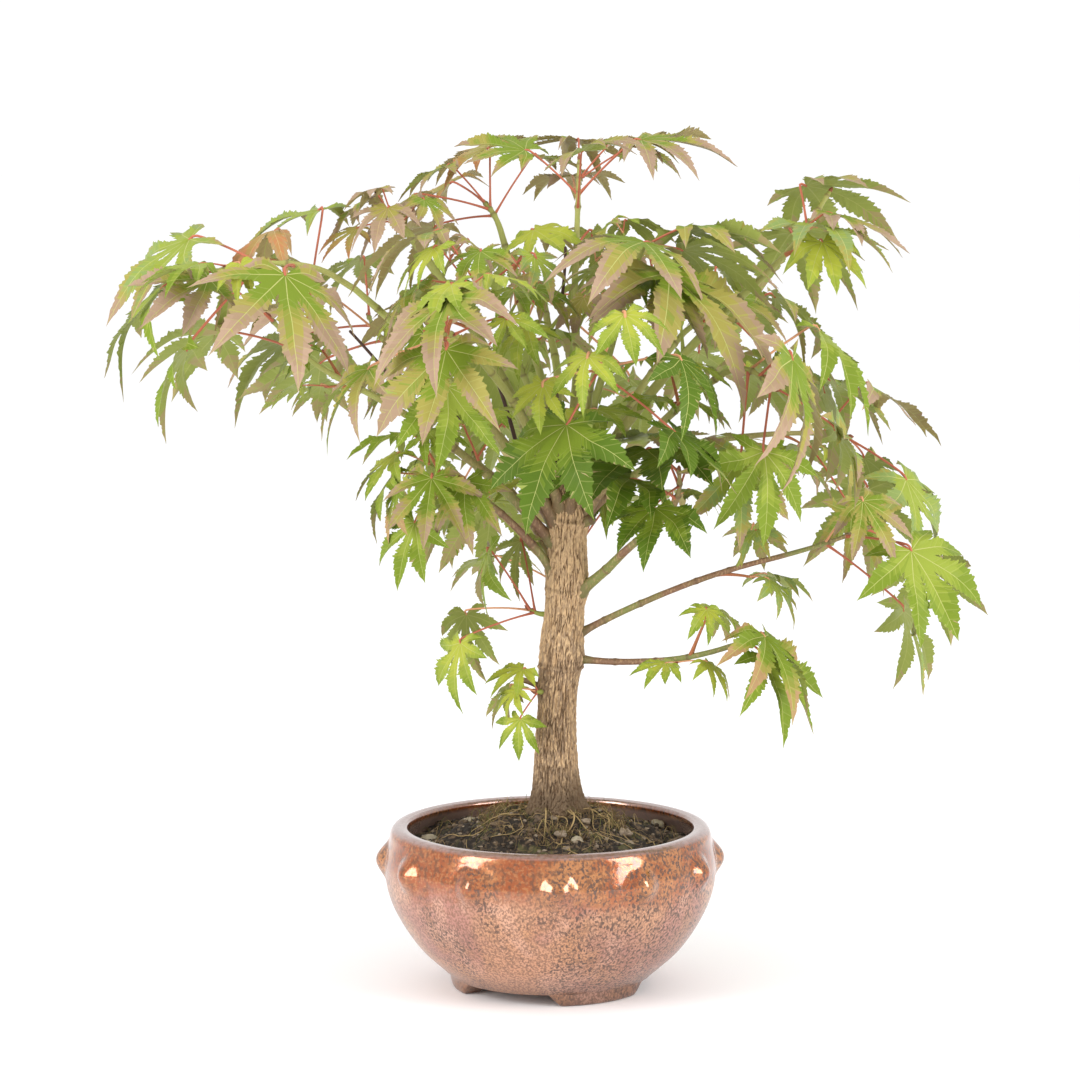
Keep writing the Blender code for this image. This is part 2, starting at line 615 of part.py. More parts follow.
def leaf_place(row, rng, joint, side, stem, attempt):
    """Where a stalk and its leaf go: the stalk's points, and the leaf's axis, normal, size and sag."""
    share = (joint + 1) / row.pairs
    at = (JOINTS[0] + (JOINTS[1] - JOINTS[0]) * share) * (len(stem) - 1)
    step = min(int(at), len(stem) - 2)
    foot = stem[step].lerp(stem[step + 1], at - step)
    along = (stem[step + 1] - stem[step]).normalized()
    level = UP.cross(along)
    level = level.normalized() if level.length > NEAR_UPRIGHT else Vector((0, 1, 0))
    above = along.cross(level)
    around = row.twist + 90 * (row.pairs - 1 - joint) + 180 * side + rng.uniform(-1, 1) * STALK_TURN_VARY
    around = math.radians(around + RETRY_TURN * attempt * (-1) ** attempt)
    lean = STALK_LEAN[0] - STALK_LEAN[1] * share + rng.uniform(-1, 1) * STALK_LEAN_VARY
    lean = math.radians(lean + RETRY_LEAN * (attempt % 3 - 1) * (attempt > 0))
    head = along * math.cos(lean) + (level * math.cos(around) + above * math.sin(around)) * math.sin(lean)
    head = (head + UP * STALK_LIFT).normalized()
    length = row.stalk * (STALK_LENGTH[0] - STALK_LENGTH[1] * share) * rng.uniform(*STALK_VARY)
    base = foot + head * length - UP * length * STALK_BOW
    stalk = bend(foot, foot + head * length / 2, base, STALK_POINTS)
    outward = Vector((base.x - TRUNK_FOOT_X, base.y, 0)).normalized()
    level_head = (Vector((head.x, head.y, 0)) + outward * OUTWARD_PULL).normalized()
    turn = math.degrees(math.atan2(level_head.y, level_head.x)) + rng.uniform(-1, 1) * LEAF_TURN_VARY
    droop = row.droop + rng.uniform(*LEAF_DROOP_VARY) - LEAF_LIFT * math.degrees(math.asin(head.z))
    axis = direction(turn, -droop)
    across = direction(turn + 90, 0)
    roll = math.radians(rng.uniform(-1, 1) * LEAF_ROLL_VARY)
    normal = axis.cross(across) * math.cos(roll) + across * math.sin(roll)
    size = row.leaf * (LEAF_SIZE[0] + LEAF_SIZE[1] * share) * rng.uniform(*LEAF_VARY)
    size *= 1 - RETRY_SIZE * attempt
    return stalk, axis, normal, size, rng.uniform(*LEAF_SAG)


def stem_solid(row):
    """A spray's stem as a solid."""
    start, lead = spray_start(row)
    radii = [STEM_RADIUS * (1 - STEM_TAPER * i) for i in range(STEM_POINTS)]
    return tube(stem_path(row, start, lead), radii, STEM_SIDES, lead)


def grow_spray(row, taken):
    """A spray's stem and its leaves on their stalks, as (points, faces) solids, the stem first."""
    rng = random.Random(row.seed)
    stem = stem_path(row, *spray_start(row))
    parts = [stem_solid(row)]
    for joint in range(row.pairs):
        for side in (0, 1):
            draw = rng.random()
            for attempt in range(TRIES):
                place = leaf_place(row, random.Random(draw), joint, side, stem, attempt)
                stalk, axis, normal, size, sag = place
                leaf = (axis, normal, size * LEAF_MARGIN, sag, size * LEAF_THICK + 2 * CLEARANCE)
                fat, whole = (leaf_solid(s, STALK_RADIUS + CLEARANCE, *leaf) for s in (stalk[1:], stalk))
                if in_crown(fat[0]) and not taken.hits(*fat) and not taken.hits(*whole, but=row.name):
                    parts.append(leaf_solid(stalk, STALK_RADIUS, axis, normal, size, sag, size * LEAF_THICK))
                    taken.add(*parts[-1], row.name)
                    break
    return parts


def spray_start(row):
    """Where a spray's stem starts and the way it leads: off its bough's tip, or off the trunk."""
    if row.limb == "trunk":
        height = TRUNK_SPRAY_HEIGHTS[row.name]
        lead = direction(row.heading, 0)
        bark = trunk_radius(height, math.radians(row.heading))
        return trunk_centre(height) + lead * (bark + FACET_GAP), lead
    path = bough_path(next(bough for bough in BOUGHS if bough.name == row.limb))
    lead = slope(path, len(path) - 1)
    return path[-1] + lead * GAP, lead


def make_spray(row, taken):
    """One spray of foliage, fused into a single solid."""
    parts = grow_spray(row, taken)
    stem = piece(row.name, *parts[0], "leaf")
    return combine(stem, [piece("bit", *part, "leaf") for part in parts[1:]], "UNION")


def solid_of(obj):
    """An object's points and faces."""
    return [v.co.copy() for v in obj.data.vertices], [tuple(p.vertices) for p in obj.data.polygons]


def main():
    """Build the whole plant."""
    for obj in list(bpy.data.objects):
        bpy.data.objects.remove(obj)
    taken = Taken()
    bowl, inside = make_bowl()
    solids = [bowl, make_soil(inside), trunk_solid("trunk", 0.0)]
    solids += [make_bough(row) for row in BOUGHS]
    for obj in solids:
        taken.add(*solid_of(obj))
    for row in SPRAYS:
        taken.add(*stem_solid(row), row.name)
    for row in SPRAYS:
        make_spray(row, taken)


main()
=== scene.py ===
"""The looks of a Japanese maple bonsai in a glazed bowl, made around its packed solids.

Metres, +Z up, in the frame of the solids. The bowl, the soil, the trunk and the boughs get
finely modelled surfaces where their solids are. Each spray of foliage is grown again by the
rule of its solid, with serrated, veined leaves on round stalks, and carried on to finer twigs.
"""

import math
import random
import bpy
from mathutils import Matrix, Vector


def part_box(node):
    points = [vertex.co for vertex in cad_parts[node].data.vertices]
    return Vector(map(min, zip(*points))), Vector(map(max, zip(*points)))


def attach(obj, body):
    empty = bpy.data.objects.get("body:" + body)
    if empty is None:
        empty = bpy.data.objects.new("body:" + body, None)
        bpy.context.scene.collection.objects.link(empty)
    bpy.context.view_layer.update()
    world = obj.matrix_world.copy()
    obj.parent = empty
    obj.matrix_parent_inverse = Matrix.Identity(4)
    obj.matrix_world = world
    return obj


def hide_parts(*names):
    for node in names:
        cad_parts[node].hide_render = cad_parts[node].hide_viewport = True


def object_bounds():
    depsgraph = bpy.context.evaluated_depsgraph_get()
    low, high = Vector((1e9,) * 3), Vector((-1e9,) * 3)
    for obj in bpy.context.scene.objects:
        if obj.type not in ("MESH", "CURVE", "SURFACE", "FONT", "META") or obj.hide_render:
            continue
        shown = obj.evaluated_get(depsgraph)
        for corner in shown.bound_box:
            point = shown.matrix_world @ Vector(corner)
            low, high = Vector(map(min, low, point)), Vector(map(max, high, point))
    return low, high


bl_info = {
    "name": "Maple Bonsai",
    "version": (1, 0, 0),
    "blender": (4, 5, 0),
    "location": "3D View > Sidebar > Bonsai",
    "description": "Dresses a potted maple bonsai: glazed bowl, soil, bark, twigs and leaves",
    "category": "Add Mesh",
}

from typing import NamedTuple

import bmesh
import bpy
import numpy as np
from mathutils import Vector, noise
from mathutils.bvhtree import BVHTree
from mathutils.kdtree import KDTree

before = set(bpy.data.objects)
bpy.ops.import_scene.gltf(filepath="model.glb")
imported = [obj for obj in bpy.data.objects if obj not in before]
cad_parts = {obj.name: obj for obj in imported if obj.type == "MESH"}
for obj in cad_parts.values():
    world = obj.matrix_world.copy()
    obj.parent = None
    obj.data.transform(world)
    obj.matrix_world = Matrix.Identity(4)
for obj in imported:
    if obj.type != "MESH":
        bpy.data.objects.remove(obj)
CAD_BOX = [list(corner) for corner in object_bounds()]

UP = Vector((0, 0, 1))
GAP = 0.0003  # between a bough's tip and its spray's stem

# Bowl: radius and height up the outside, from the bottom corner to the shoulder
BOWL_SIDE = ((0.0386, 0.0048), (0.0514, 0.0169), (0.0608, 0.0325), (0.0636, 0.0470), (0.0618, 0.0580))
RIM_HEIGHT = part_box("pot")[1].z
RIM_INNER_RADIUS = 0.0546
BOWL_WALL = 0.0056
WALL_RISE = 0.0025
BOWL_FLOOR = 0.0105
DRAIN_RADIUS = 0.0050
BOSS_COUNT, BOSS_FIRST, BOSS_HEIGHT = 12, -87.5, 0.0496
BOSS_STAND = 0.0034  # how far a knob stands out
BOSS_SPREAD = (0.0062, 0.0066)  # half sizes of a knob: round the bowl, up
BOSS_SOFT = 1.3  # how much wider a knob's glaze runs out than its solid
FOOT_COUNT = 3
FOOT_FIRST = -58.0
FOOT_ARC = 68.0
FOOT_INNER = 0.0295
FOOT_FLARE = 9.0  # degrees over which a foot's end curves up

SOIL_EDGE_HEIGHT = 0.0550
SOIL_MOUND = ((0.0, 0.0680), (0.0160, 0.0680), (0.0220, 0.0660), (0.0310, 0.0618), (0.0440, 0.0572))

TRUNK_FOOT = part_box("trunk")[0].z
TRUNK_HEIGHT = 0.1290
TRUNK_FOOT_X = 0.0020
TRUNK_LEAN = 0.0044
TRUNK_CURVE = (0.022, 0.080)
TRUNK_SWAY = 0.0012
TRUNK_RADII = (0.0083, 0.0069)
FLARE = 0.0036
FLARE_HEIGHT = 0.0075
ROOT_COUNT = 5
ROOT_PHASE = 0.6
ROOT_RELIEF = (0.38, 0.16)
SAWN_TILT = 0.0022
SAWN_HEADING = 23
KNOTS = ((0.062, 0.0008, 0.010), (0.091, 0.0007, 0.009), (0.040, -0.0005, 0.012))

BOUGH_START = 0.0030
BOUGH_POINTS = 9
BOUGH_TAPER = 0.8
CROOK = (0.0010, 0.0018)
CROOK_WAVE = 7

# Growth of a spray, as its solid grows. Angles are in degrees, the rest are shares of the row's sizes.
STEM_POINTS = 4
STEM_RADIUS = 0.0011
STEM_START = 0.45
NEAR_UPRIGHT = 0.2
STALK_POINTS = 4
STALK_LIFT = 0.22
STALK_BOW = 0.10
STALK_LENGTH = (1.12, 0.24)
STALK_VARY = (0.78, 1.18)
JOINTS = (0.30, 0.95)
STALK_LEAN = (74, 30)
STALK_LEAN_VARY = 13
STALK_TURN_VARY = 24
LEAF_TURN_VARY = 26
LEAF_DROOP_VARY = (-14, 16)
LEAF_ROLL_VARY = 26
LEAF_LIFT = 0.30
LEAF_SIZE = (0.82, 0.18)
LEAF_VARY = (0.80, 1.10)
LEAF_SAG = (0.10, 0.32)
LEAF_FOOT = 0.07
OUTWARD_PULL = 0.30
TRIES = 8
RETRY_TURN = 13
RETRY_LEAN = 9
RETRY_SIZE = 0.05
FOUND = 0.0002  # how near the solid's corners a leaf's tips are
CHECKED_LOBES = (3, 4, 1)  # lobes whose tips are looked for
TRUNK_GAP = 0.00034


class Bough(NamedTuple):
    """One limb: where it leaves the trunk, and where its tip is."""
    name: str
    foot: float  # height at which it leaves the trunk
    heading: float  # degrees from +X, seen from above
    reach: float  # of the tip from the bowl's axis
    tip: float  # height of the tip
    thick: float  # radius at the foot
    thin: float  # radius at the tip
    bow: float  # how far its middle stands above the straight line

    @property
    def node(self):
        """The name of its solid."""
        return "bough_" + self.name


BOUGHS = (
    Bough("right_top", 0.188, -6, 0.080, 0.272, 0.0026, 0.0013, 0.004),
    Bough("right_upper", 0.175, -24, 0.070, 0.237, 0.0023, 0.0012, 0.005),
    Bough("right_middle", 0.177, 14, 0.080, 0.210, 0.0021, 0.0011, 0.008),
    Bough("right_stub", 0.150, -30, 0.047, 0.181, 0.0023, 0.0012, 0.000),
    Bough("right_long", 0.134, -4, 0.086, 0.166, 0.0014, 0.0010, 0.003),
    Bough("right_low", 0.127, -14, 0.071, 0.134, 0.0014, 0.0010, -0.004),
    Bough("middle", 0.186, 55, 0.017, 0.281, 0.0019, 0.0012, 0.001),
    Bough("top_right", 0.186, -28, 0.038, 0.282, 0.0018, 0.0012, 0.003),
    Bough("top_left", 0.186, 228, 0.030, 0.262, 0.0017, 0.0011, 0.002),
    Bough("top_back", 0.186, 124, 0.034, 0.288, 0.0018, 0.0012, 0.003),
    Bough("left_top", 0.185, 172, 0.053, 0.286, 0.0026, 0.0016, 0.004),
    Bough("left_upper", 0.177, 203, 0.078, 0.268, 0.0024, 0.0012, 0.005),
    Bough("left_middle", 0.168, 188, 0.080, 0.234, 0.0021, 0.0011, 0.006),
    Bough("left_low", 0.156, 202, 0.040, 0.196, 0.0018, 0.0011, 0.004),
    Bough("front_left", 0.182, 242, 0.062, 0.248, 0.0021, 0.0012, 0.005),
    Bough("front_right", 0.180, 286, 0.056, 0.238, 0.0020, 0.0011, 0.005),
    Bough("back", 0.182, 92, 0.062, 0.258, 0.0023, 0.0013, 0.005),
    Bough("back_left", 0.172, 138, 0.076, 0.237, 0.0022, 0.0012, 0.007),
    Bough("back_right", 0.172, 48, 0.078, 0.247, 0.0022, 0.0012, 0.006),
    Bough("back_low", 0.154, 112, 0.064, 0.192, 0.0018, 0.0011, 0.006),
)


class Spray(NamedTuple):
    """A mass of foliage: a stem with pairs of leaves, on the bough of its name or the trunk."""
    name: str
    heading: float  # of the stem's end, degrees from +X
    rise: float  # of the stem's end, degrees above level
    length: float  # of the stem
    pairs: int  # pairs of leaves along the stem
    stalk: float  # length of its leaf stalks
    leaf: float  # length of its largest leaves' middle lobe
    twist: float  # turn of the last pair about the stem, degrees from level
    droop: float  # how far the leaves hang, degrees below level
    seed: int
    wears: str  # the dresses of its leaves, which take turns

    @property
    def node(self):
        """The name of its solid."""
        return "spray_" + self.name


SPRAYS = (
    Spray("right_top", 26, 48, 0.042, 4, 0.016, 0.054, 70, 20, 558, "turning sage mauve tinted"),
    Spray("right_upper", -36, -12, 0.022, 3, 0.03, 0.056, 45, 61, 488, "tinted green mauve sage"),
    Spray("right_middle", 20, -2, 0.04, 3, 0.038, 0.046, 45, 39, 60, "turning sage mauve green"),
    Spray("right_stub", -70, 50, 0.028, 3, 0.022, 0.048, 20, 10, 886, "green turning olive"),
    Spray("right_long", 14, 16, 0.038, 3, 0.03, 0.048, 70, 48, 120, "sage turning green tinted"),
    Spray("right_low", 10, 20, 0.01, 3, 0.006, 0.048, 45, 50, 695, "green dry olive"),
    Spray("middle", 84, 70, 0.036, 4, 0.032, 0.04, 0, 10, 873, "ripe turning mauve olive"),
    Spray("top_right", -48, 10, 0.008, 3, 0.012, 0.06, 70, 10, 323, "olive turning mauve"),
    Spray("top_left", 240, 20, 0.022, 3, 0.028, 0.044, 45, 44, 601, "olive fresh mauve"),
    Spray("top_back", 134, 50, 0.014, 3, 0.032, 0.04, 70, 23, 636, "ripe turning bronze"),
    Spray("left_top", 187, 45, 0.014, 4, 0.014, 0.03, 70, 32, 680, "ripe turning bronze mauve"),
    Spray("left_upper", 194, 8, 0.052, 3, 0.032, 0.056, 0, 37, 638, "green mauve tinted green"),
    Spray("left_middle", 188, 42, 0.034, 3, 0.05, 0.056, 45, 22, 804, "turning sage dead mauve"),
    Spray("left_low", 230, 0, 0.01, 3, 0.016, 0.03, 20, 53, 84, "green olive dry"),
    Spray("front_left", 247, 10, 0.03, 3, 0.026, 0.05, 0, 44, 873, "turning olive mauve green"),
    Spray("front_right", 279, 5, 0.014, 3, 0.03, 0.054, 0, 38, 648, "shade dark olive"),
    # The back sprays wear lime and fresh partly as painted light falling through leaves lit from behind
    Spray("back", 98, 5, 0.024, 4, 0.044, 0.064, 20, 64, 244, "lime fresh olive"),
    Spray("back_left", 118, 25, 0.038, 4, 0.032, 0.06, 20, 35, 230, "turning green ripe"),
    Spray("back_right", 28, 10, 0.026, 4, 0.024, 0.048, 70, 38, 577, "olive turning lime"),
    Spray("back_low", 108, 15, 0.022, 3, 0.02, 0.05, 70, 48, 660, "fresh lime green"),
    Spray("trunk_left", 164, 15, 0.006, 2, 0.034, 0.03, 45, 80, 932, "green fresh"),
    Spray("trunk_foot", 211, 10, 0.002, 2, 0.014, 0.02, 0, 45, 314, "lime fresh"),
    Spray("trunk_back", 90, 45, 0.018, 2, 0.046, 0.03, 45, 15, 903, "green dry lime"),
)
TRUNK_SPRAY_HEIGHTS = {"trunk_left": 0.143, "trunk_foot": 0.114, "trunk_back": 0.146}

# How a leaf looks, as shares of its middle lobe's length
LOBE_ANGLES = (-116, -74, -36, 0, 36, 74, 116)
LOBE_LENGTHS = (0.40, 0.70, 0.92, 1.0, 0.92, 0.70, 0.40)
LOBE_TEETH = (3, 6, 8, 8, 8, 6, 3)
LOBE_HALF_WIDTH = 0.135
LOBE_WIDEST = 0.54
NOTCH = 0.29
NOTCH_EVEN = 0.6
HEEL_NOTCH = (24, 0.09)  # beside the stalk: degrees from the last lobe, distance
WEB_ROWS = 3  # between the leaf's middle and its cuts
TOOTH = (  # share, how far out, whether a side vein ends
    (0.0, -0.16, False), (0.34, 0.03, False), (0.50, -0.01, False), (0.80, 0.14, True), (0.92, 0.16, False),
)
TOOTHED = 0.88  # share of a lobe's free part that is toothed
TOOTH_CROWDING = 0.92
TIP_ROWS = (0.925, 0.965, 1.0)
BIG_TEETH = 1.25  # of every second tooth, the others are smaller
RIB_TINT = 0.20  # from the blade's colour to the midrib's
TIP_TAPER = 1.35  # higher draws the tips out longer
VEIN_SLANT = 0.85
VEIN_HALF_WIDTH = 0.0044
RIB_COLUMN = 0.55  # share of the half width where the blade swells
SWELL = 0.0042
BLADE = 0.00022  # thickness of a leaf, in metres


# -------- settings

def shade(text, value):
    """A colour setting."""
    return bpy.props.FloatVectorProperty(description=text, default=value, subtype="COLOR", size=3,
                                         min=0.0, max=1.0)


def length(text, value):
    """A length setting, in metres."""
    return bpy.props.FloatProperty(description=text, default=value, unit="LENGTH", min=0.0)


def number(text, value):
    """A plain number setting."""
    return bpy.props.FloatProperty(description=text, default=value, min=0.0)


def count(text, value):
    """A whole number setting."""
    return bpy.props.IntProperty(description=text, default=value, min=0)


class BowlSettings(bpy.types.PropertyGroup):
    """Colours and surface of the glazed bowl."""
    body: shade("Pinkish copper of the lower wall", (0.57, 0.29, 0.165))
    band: shade("Deep copper round the shoulder", (0.33, 0.078, 0.016))
    umber: shade("Dark brown flecks in the shoulder's glaze", (0.15, 0.055, 0.022))
    grain: shade("Fine brown grain all over the lower wall", (0.21, 0.105, 0.065))
    bloom: shade("Mauve patches in the glaze", (0.40, 0.17, 0.16))
    ochre: shade("Warm patches in the glaze", (0.52, 0.24, 0.09))
    haze: shade("Pale, pinkish veils in the glaze of the lower wall", (0.70, 0.40, 0.28))
    speckle: shade("Dark specks in the glaze", (0.10, 0.055, 0.04))
    # painted reflection: a paler, pinkish grey laid inside the lip for the bright surroundings mirrored in
    # the glossy glaze
    inner: shade("Paler, pinkish grey glaze inside the lip", (0.52, 0.37, 0.31))
    rim: shade("Worn, greyish top of the lip", (0.36, 0.25, 0.235))
    wobble: length("How far the thrown wall strays from a true circle", 0.00022)
    speckle_scale: number("Specks to a metre", 1000.0)


class SoilSettings(bpy.types.PropertyGroup):
    """Colours and contents of the soil."""
    earth: shade("Dark soil", (0.016, 0.010, 0.006))
    crumb: shade("Paler crumbs", (0.115, 0.075, 0.043))
    stone: shade("Pebbles", (0.26, 0.20, 0.14))
    fibre: shade("Dry roots and fibres", (0.37, 0.26, 0.12))
    rootlet: shade("Fine brown roots", (0.15, 0.095, 0.045))
    moss: shade("Dull green fibres", (0.12, 0.11, 0.035))
    relief: length("Depth of the lumps", 0.0016)
    grains: count("Crumbs lying on the soil", 1500)
    pebbles: count("Pebbles lying on the soil", 46)
    fibres: count("Fine roots and fibres on the soil", 1100)


class BarkSettings(bpy.types.PropertyGroup):
    """Colours and relief of the trunk's and the boughs' bark."""
    ridge: shade("Pale tan plates", (0.47, 0.30, 0.155))
    # the dark of the cracks: partly the bark's own colour, partly painted shade where the cracks lie deep;
    # the young bark's nodes and feet take it too
    hollow: shade("Dark cracks between the plates", (0.115, 0.062, 0.028))
    grey: shade("Greyer patches", (0.30, 0.205, 0.125))
    green: shade("Olive green of the boughs", (0.20, 0.215, 0.055))
    brown: shade("Brown and reddish stretches of the boughs", (0.20, 0.105, 0.055))
    shoot: shade("Fresh, yellowish green of the boughs' upper parts", (0.33, 0.35, 0.08))
    # the pale colour: paler plates towards the top of the trunk, and the painted highlight on the plates'
    # raised tops
    pale: shade("Paler plates towards the top of the trunk", (0.62, 0.42, 0.23))
    # darker bark towards the trunk's foot, just above the soil
    basal: shade("Dark, damp bark just above the soil", (0.105, 0.066, 0.035))
    crack_depth: length("Depth of the trunk's cracks", 0.00064)


class TwigSettings(bpy.types.PropertyGroup):
    """Colours of the stems and leaf stalks."""
    stem: shade("Green shoots", (0.27, 0.30, 0.07))
    stem_red: shade("Shoots flushed red", (0.38, 0.14, 0.06))
    stalk_red: shade("Leaf stalks in the light", (0.46, 0.14, 0.08))
    stalk_pink: shade("Paler leaf stalks", (0.60, 0.29, 0.15))
    dark: shade("Old leafless twigs", (0.07, 0.04, 0.03))
    bud: shade("Bud scales", (0.24, 0.09, 0.05))
    stalk_radius: length("Of a full-grown leaf's stalk", 0.00054)


class LeafSettings(bpy.types.PropertyGroup):
    """Colours of the leaves, from deep green to autumn tints."""
    deep: shade("Leaves in the shade of the crown", (0.08, 0.138, 0.01))
    green: shade("Full-grown leaves", (0.166, 0.232, 0.02))
    fresh: shade("Leaves the light falls through", (0.255, 0.314, 0.038))
    sage: shade("Greyish green of leaves in full light", (0.215, 0.285, 0.08))
    # the lime colour: the youngest leaves, and also painted light falling through the leaves of the back
    # sprays and the open heart
    lime: shade("Youngest leaves", (0.345, 0.375, 0.042))
    olive: shade("First tint", (0.3, 0.265, 0.058))
    bronze: shade("Second tint", (0.35, 0.225, 0.07))
    mauve: shade("Strongest tint", (0.32, 0.218, 0.135))
    # the blush colour: a pale pinkish tint on the tips of mauve and ripe leaves, partly painted light for
    # their brightest, lit-through tips
    blush: shade("Pinkish, palest tint", (0.37, 0.252, 0.172))
    rust: shade("Reddish tips", (0.42, 0.185, 0.075))
    scorch: shade("Dry tips", (0.36, 0.225, 0.1))
    under: shade("Paler underside", (0.28, 0.325, 0.075))
    under_warm: shade("Underside of tinted leaves", (0.35, 0.285, 0.125))
    vein: shade("Pale midribs", (0.42, 0.43, 0.14))
    vein_warm: shade("Midribs of tinted leaves", (0.48, 0.37, 0.17))


class StageSettings(bpy.types.PropertyGroup):
    """Floor, light and camera."""
    floor: shade("Pale studio floor", (0.965, 0.96, 0.97))
    sky: number("Strength of the even light all round", 1.06)
    lamps: number("Power of each of the two window lamps, in watts", 13.0)


# -------- mesh and curve tools

class Shape:
    """Points and faces of one piece, gathered part by part."""

    def __init__(self):
        self.points, self.faces, self.slots, self.paint, self.total = [], [], [], [], 0

    def add(self, points, faces, slot=0, paint=0.0):
        """Add a part, with one slot or one for each face, and one paint value or one for each point."""
        points = np.asarray(points, float).reshape(-1, 3)
        self.more(np.asarray(faces, int) + self.total, slot)
        self.points.append(points)
        self.paint.append(np.broadcast_to(paint, len(points)))
        self.total += len(points)

    def more(self, faces, slot=0):
        """Add faces between points that are already there."""
        self.faces.append(np.asarray(faces, int))
        self.slots.append(np.broadcast_to(slot, len(faces)))

    def make(self, name, materials, sharp=60.0):
        """The gathered parts as one smooth mesh object."""
        mesh = bpy.data.meshes.new(name)
        corners = np.concatenate([f.ravel() for f in self.faces])
        sizes = np.concatenate([np.full(len(f), f.shape[1]) for f in self.faces])
        mesh.vertices.add(self.total)
        mesh.vertices.foreach_set("co", np.concatenate(self.points).astype(np.float32).ravel())
        mesh.loops.add(len(corners))
        mesh.loops.foreach_set("vertex_index", corners.astype(np.int32))
        mesh.polygons.add(len(sizes))
        mesh.polygons.foreach_set("loop_start", (np.cumsum(sizes) - sizes).astype(np.int32))
        for material in materials:
            mesh.materials.append(material)
        mesh.polygons.foreach_set("material_index", np.concatenate(self.slots).astype(np.int32))
        painted = np.concatenate(self.paint)
        if painted.any():
            layer = mesh.attributes.new("paint", "FLOAT", "POINT")
            layer.data.foreach_set("value", painted.astype(np.float32))
        mesh.update(calc_edges=True)
        mesh.validate()
        mesh.shade_smooth()
        mesh.set_sharp_from_angle(angle=math.radians(sharp))
        obj = bpy.data.objects.new(name, mesh)
        bpy.context.scene.collection.objects.link(obj)
        return obj


def triangles(faces):
    """Quads that may use a corner twice, sorted: quads and their places, triangles and theirs."""
    sorted_faces = {4: ([], []), 3: ([], [])}
    for i, face in enumerate(faces):
        kept = list(dict.fromkeys(face))
        if len(kept) in sorted_faces:
            sorted_faces[len(kept)][0].append(kept)
            sorted_faces[len(kept)][1].append(i)
    return [np.array(part, int) for parts in sorted_faces.values() for part in parts]


def smooth(x):
    """A smooth step from 0 to 1."""
    x = np.clip(x, 0.0, 1.0)
    return x * x * (3 - 2 * x)


def direction(heading, rise):
    """The unit vector at a heading and a rise, both in degrees."""
    h, r = math.radians(heading), math.radians(rise)
    return Vector((math.cos(h) * math.cos(r), math.sin(h) * math.cos(r), math.sin(r)))


def bend(start, control, end, points):
    """Points along a quadratic curve."""
    ts = [i / (points - 1) for i in range(points)]
    return [start * (1 - t) ** 2 + control * 2 * t * (1 - t) + end * t * t for t in ts]


def through(points, steps):
    """Points along a smooth curve through the given points."""
    rows = [Vector(p) for p in points]
    rows = [rows[0] * 2 - rows[1]] + rows + [rows[-1] * 2 - rows[-2]]
    out = []
    for a, b, c, d in zip(rows, rows[1:], rows[2:], rows[3:]):
        for i in range(steps):
            t = i / steps
            out.append(0.5 * (2 * b + (c - a) * t + (2 * a - 5 * b + 4 * c - d) * t ** 2
                              + (3 * b - a - 3 * c + d) * t ** 3))
    return out + [rows[-2]]


def level_across(along):
    """The level direction across a line, or +Y where the line is nearly upright."""
    level = UP.cross(along)
    return level.normalized() if level.length > NEAR_UPRIGHT else Vector((0, 1, 0))


def box_of(points):
    """The lowest and the highest corner of the box round some points."""
    return [[pick(p[i] for p in points) for i in range(3)] for pick in (min, max)]


def slope(path, i):
    """The direction of a path at its point i."""
    return (path[min(i + 1, len(path) - 1)] - path[max(i - 1, 0)]).normalized()


def travel(path):
    """How far along the path each of its points lies."""
    far = [0.0]
    for a, b in zip(path, path[1:]):
        far.append(far[-1] + (b - a).length)
    return far


def wrapped(rows, columns):
    """Quads of a grid whose columns run round and join up."""
    faces = []
    for i in range(rows - 1):
        for k in range(columns):
            a, b = i * columns + k, i * columns + (k + 1) % columns
            faces.append((a, b, b + columns, a + columns))
    return faces


START_CAP, END_CAP = 0.4, 0.6  # how far closed ends stand out, in radii


def tube(path, radii, sides, relief=None):
    """A round tapering tube with closed ends: points, quads, and end triangles."""
    side = slope(path, 0).orthogonal().normalized()
    points = []
    for i, centre in enumerate(path):
        along = slope(path, i)
        side = (side - along * side.dot(along)).normalized()
        across = along.cross(side)
        for k in range(sides):
            a = math.tau * k / sides
            out = side * math.cos(a) + across * math.sin(a)
            r = radii[i] + (relief(centre + out * radii[i]) if relief else 0.0)
            points.append(centre + out * r)
    first, last = len(points), len(points) + 1
    points.append(path[0] - slope(path, 0) * radii[0] * START_CAP)
    points.append(path[-1] + slope(path, len(path) - 1) * radii[-1] * END_CAP)
    ring = (len(path) - 1) * sides
    ends = []
    for k in range(sides):
        n = (k + 1) % sides
        ends += [(first, n, k), (last, ring + k, ring + n)]
    return points, wrapped(len(path), sides), ends


def falling(radius, whole, loss, last, count):
    """Radii along a path, as shares of one radius that fall evenly from whole by loss at the last."""
    return [radius * (whole - loss * i / last) for i in range(count)]


def add_tube(shape, path, radii, sides, slot, relief=None, paint=None):
    """Add a round tube to a shape, with one paint value for each of its rings."""
    points, quads, ends = tube(path, radii, sides, relief)
    start = shape.total
    shades = 0.0 if paint is None else list(np.repeat(paint, sides)) + [paint[0], paint[-1]]
    shape.add(points, quads, slot, shades)
    shape.more(np.asarray(ends, int) + start, slot)


def ball(subdivisions):
    """A unit ball of even triangles: points and faces."""
    mesh = bmesh.new()
    bmesh.ops.create_icosphere(mesh, subdivisions=subdivisions, radius=1.0)
    mesh.verts.index_update()
    points = [v.co.copy() for v in mesh.verts]
    faces = [tuple(v.index for v in face.verts) for face in mesh.faces]
    mesh.free()
    return points, faces


